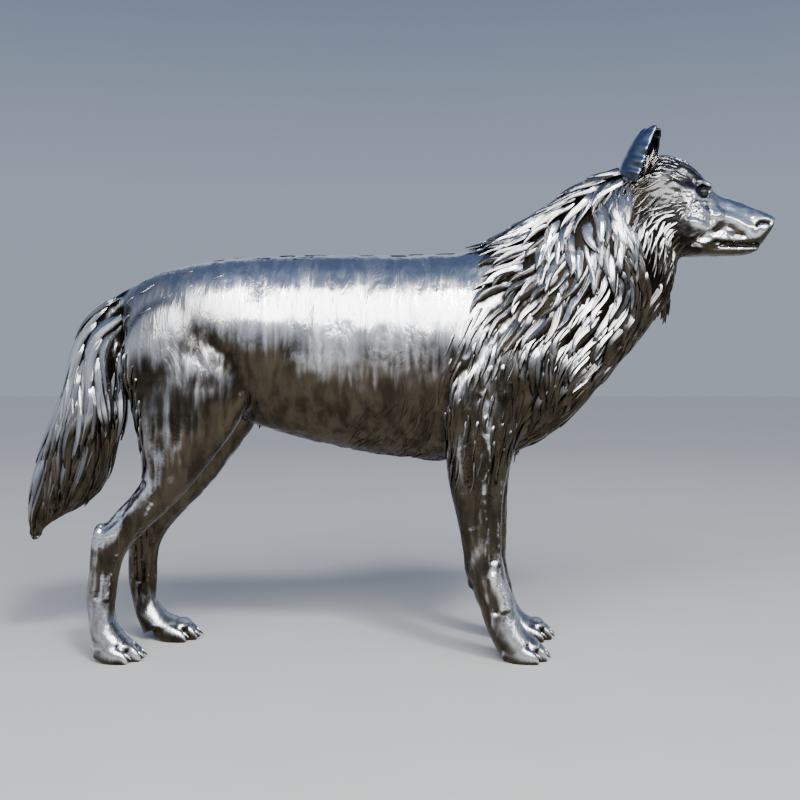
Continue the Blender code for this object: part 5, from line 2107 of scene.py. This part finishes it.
@dataclass
class Studio:
    """A plain pale floor, soft light and the camera.

    Attributes:
        eye: The camera's place.
        pitch: How far it looks down, in degrees.
        lens: Its focal length in millimetres.
        boxes: The softboxes.
        sun: The way the small hard light shines.
        front_air: The air behind the camera, as (height, colour) from the horizon up.
        rear_air: The air behind the wolf.
    """

    eye: Triple = (0.0, -2.444, 0.658)
    pitch: float = 2.47
    lens: float = 50.0
    boxes: tuple[Softbox, ...] = (
        Softbox("key", (0.10, -3.0, 2.75), (0.0, 0.0, 0.75), (3.9, 2.0), 225.0, (1.0, 0.985, 0.96)),
        Softbox("side", (3.3, -2.5, 1.9), (0.6, 0.0, 0.9), (1.8, 1.2), 38.0, (1.0, 0.98, 0.95)),
        Softbox("rear_fill", (0.3, 3.6, 2.8), (0.0, 0.0, 0.6), (4.6, 2.2), 13.0, (0.90, 0.95, 1.0)),
    )
    sun: Triple = (-0.35, 0.62, -0.72)
    front_air: tuple[tuple[float, Colour], ...] = (
        (0.00, (0.44, 0.47, 0.52, 1)), (0.12, (0.50, 0.54, 0.61, 1)), (0.34, (0.72, 0.78, 0.90, 1)),
        (0.70, (0.36, 0.44, 0.64, 1)), (1.00, (0.15, 0.21, 0.36, 1)),
    )
    rear_air: tuple[tuple[float, Colour], ...] = (
        (0.00, (0.40, 0.45, 0.53, 1)), (0.14, (0.38, 0.44, 0.55, 1)), (0.38, (0.15, 0.20, 0.33, 1)),
        (0.70, (0.10, 0.145, 0.27, 1)), (1.00, (0.09, 0.135, 0.26, 1)),
    )

    def camera(self) -> None:
        """Set up the camera."""
        data = bpy.data.cameras.new("camera")
        data.lens = self.lens
        data.sensor_width = 36.0
        item = placed("camera", data)
        item.location = self.eye
        item.rotation_euler = (math.radians(90 - self.pitch), 0, 0)
        bpy.context.scene.camera = item

    def lights(self) -> None:
        """Hang the softboxes and the small hard light that makes the steel sparkle."""
        for box in self.boxes:
            box.hang()
        data = bpy.data.lights.new("sparkle", "SUN")
        data.energy = 1.6
        data.angle = math.radians(9)
        placed("sparkle", data).rotation_euler = Vector(self.sun).to_track_quat("-Z", "Y").to_euler()

    def sky(self) -> None:
        """Paint the air round the studio, pale at the horizon and bluer above."""
        world = bpy.data.worlds.new("studio_air")
        bpy.context.scene.world = world
        world.use_nodes = True
        nodes = Nodes(world.node_tree)
        _, depth, height = nodes.apart(nodes.coordinates("Generated"))
        front, rear = (self.ramp(nodes, height, stops) for stops in (self.front_air, self.rear_air))
        air = nodes.mix(nodes.span(depth, -0.30, 0.30), front, rear)
        back = nodes.add("ShaderNodeBackground", {0: air, 1: 0.85})
        nodes.add("ShaderNodeOutputWorld", {0: back.outputs[0]})

    @staticmethod
    def ramp(nodes: Nodes, value: NodeSocket, stops: tuple[tuple[float, Colour], ...]) -> NodeSocket:
        """A colour ramp.

        Args:
            nodes: The tree that takes it.
            value: What it reads.
            stops: Its (position, colour) stops.

        Returns:
            Its colour.
        """
        ramp = nodes.add("ShaderNodeValToRGB", {0: value})
        for _ in stops[2:]:
            ramp.color_ramp.elements.new(0.5)
        for element, (position, colour) in zip(ramp.color_ramp.elements, stops):
            element.position = position
            element.color = colour
        return ramp.outputs[0]

    def floor(self) -> None:
        """Lay the floor."""
        bm = bmesh.new()
        bmesh.ops.create_grid(bm, x_segments=1, y_segments=1, size=14.0)
        item = object_of(bm, "floor")
        material, nodes, ends = started("pale_floor")
        value = nodes.noise(nodes.coordinates(), 3.0, 5.0, 0.6)
        nodes.feed(ends["Base Color"], nodes.mix(value, (0.50, 0.50, 0.49, 1), (0.56, 0.56, 0.55, 1)))
        ends["Roughness"].default_value = 0.85
        item.data.materials.append(material)

    def build(self) -> None:
        """Set up everything round the wolf."""
        self.camera()
        self.lights()
        self.sky()
        self.floor()


def main() -> None:
    """Build the wolf and the studio."""
    logging.basicConfig(level=logging.INFO, format="%(relativeCreated)d %(message)s", stream=sys.stdout)
    effects = Effects()
    skin = SteelFinish("ground_skin_steel", strokes=0.0040, beads=0.0034).make(effects)
    face = SteelFinish(
        "face_steel", beads=0.0006, roughness=(0.10, 0.22), low=-0.50, high=0.03, lift=0.10, front=0.0,
    ).make(effects)
    lock = SteelFinish(
        "lock_steel", grooves=0.0008, roughness=(0.09, 0.22), low=-0.20, high=0.26, lift=0.45, front=-0.22,
    ).make(effects)
    # The bluish colours of the ears and the lids are a painted reflection of the sky.
    plate = SteelFinish(
        "ear_plate_steel", bright=(0.27, 0.33, 0.44, 1.0), shade=(0.07, 0.085, 0.11, 1.0),
        warm=(0.06, 0.06, 0.07, 1.0), low=-0.5, high=0.5, wander=0.3, lift=0.0, front=0.0,
    ).make(effects)
    glass = EyeFinish().make()
    coat = Coat(Form())
    LOG.info("form ready")
    for stretch in LONG_LOCKS:
        coat.grow(stretch, lock)
    work = SkinWork()
    legs = [Leg(limb, side) for side in Side for limb in LIMBS]
    skins = [leg.fused() for leg in legs]
    Body().build(skins, work, coat, skin)
    for leg, item in zip(legs, skins):
        leg.build(item, work, coat, skin)
        leg.claws(skin)
    Head().build(coat, face)
    for side in Side:
        Ear(side).build(plate)
        eye = Eye(side)
        eye.ball(glass)
        eye.lids(plate)
    for stretch in SHORT_STROKES:
        coat.grow(stretch, lock)
    for name, tufts in TUFTS.items():
        coat.hang(name, tufts, lock)
    bpy.data.meshes.remove(coat.blade.mesh)
    Studio().build()


if __name__ == "__main__":
    main()
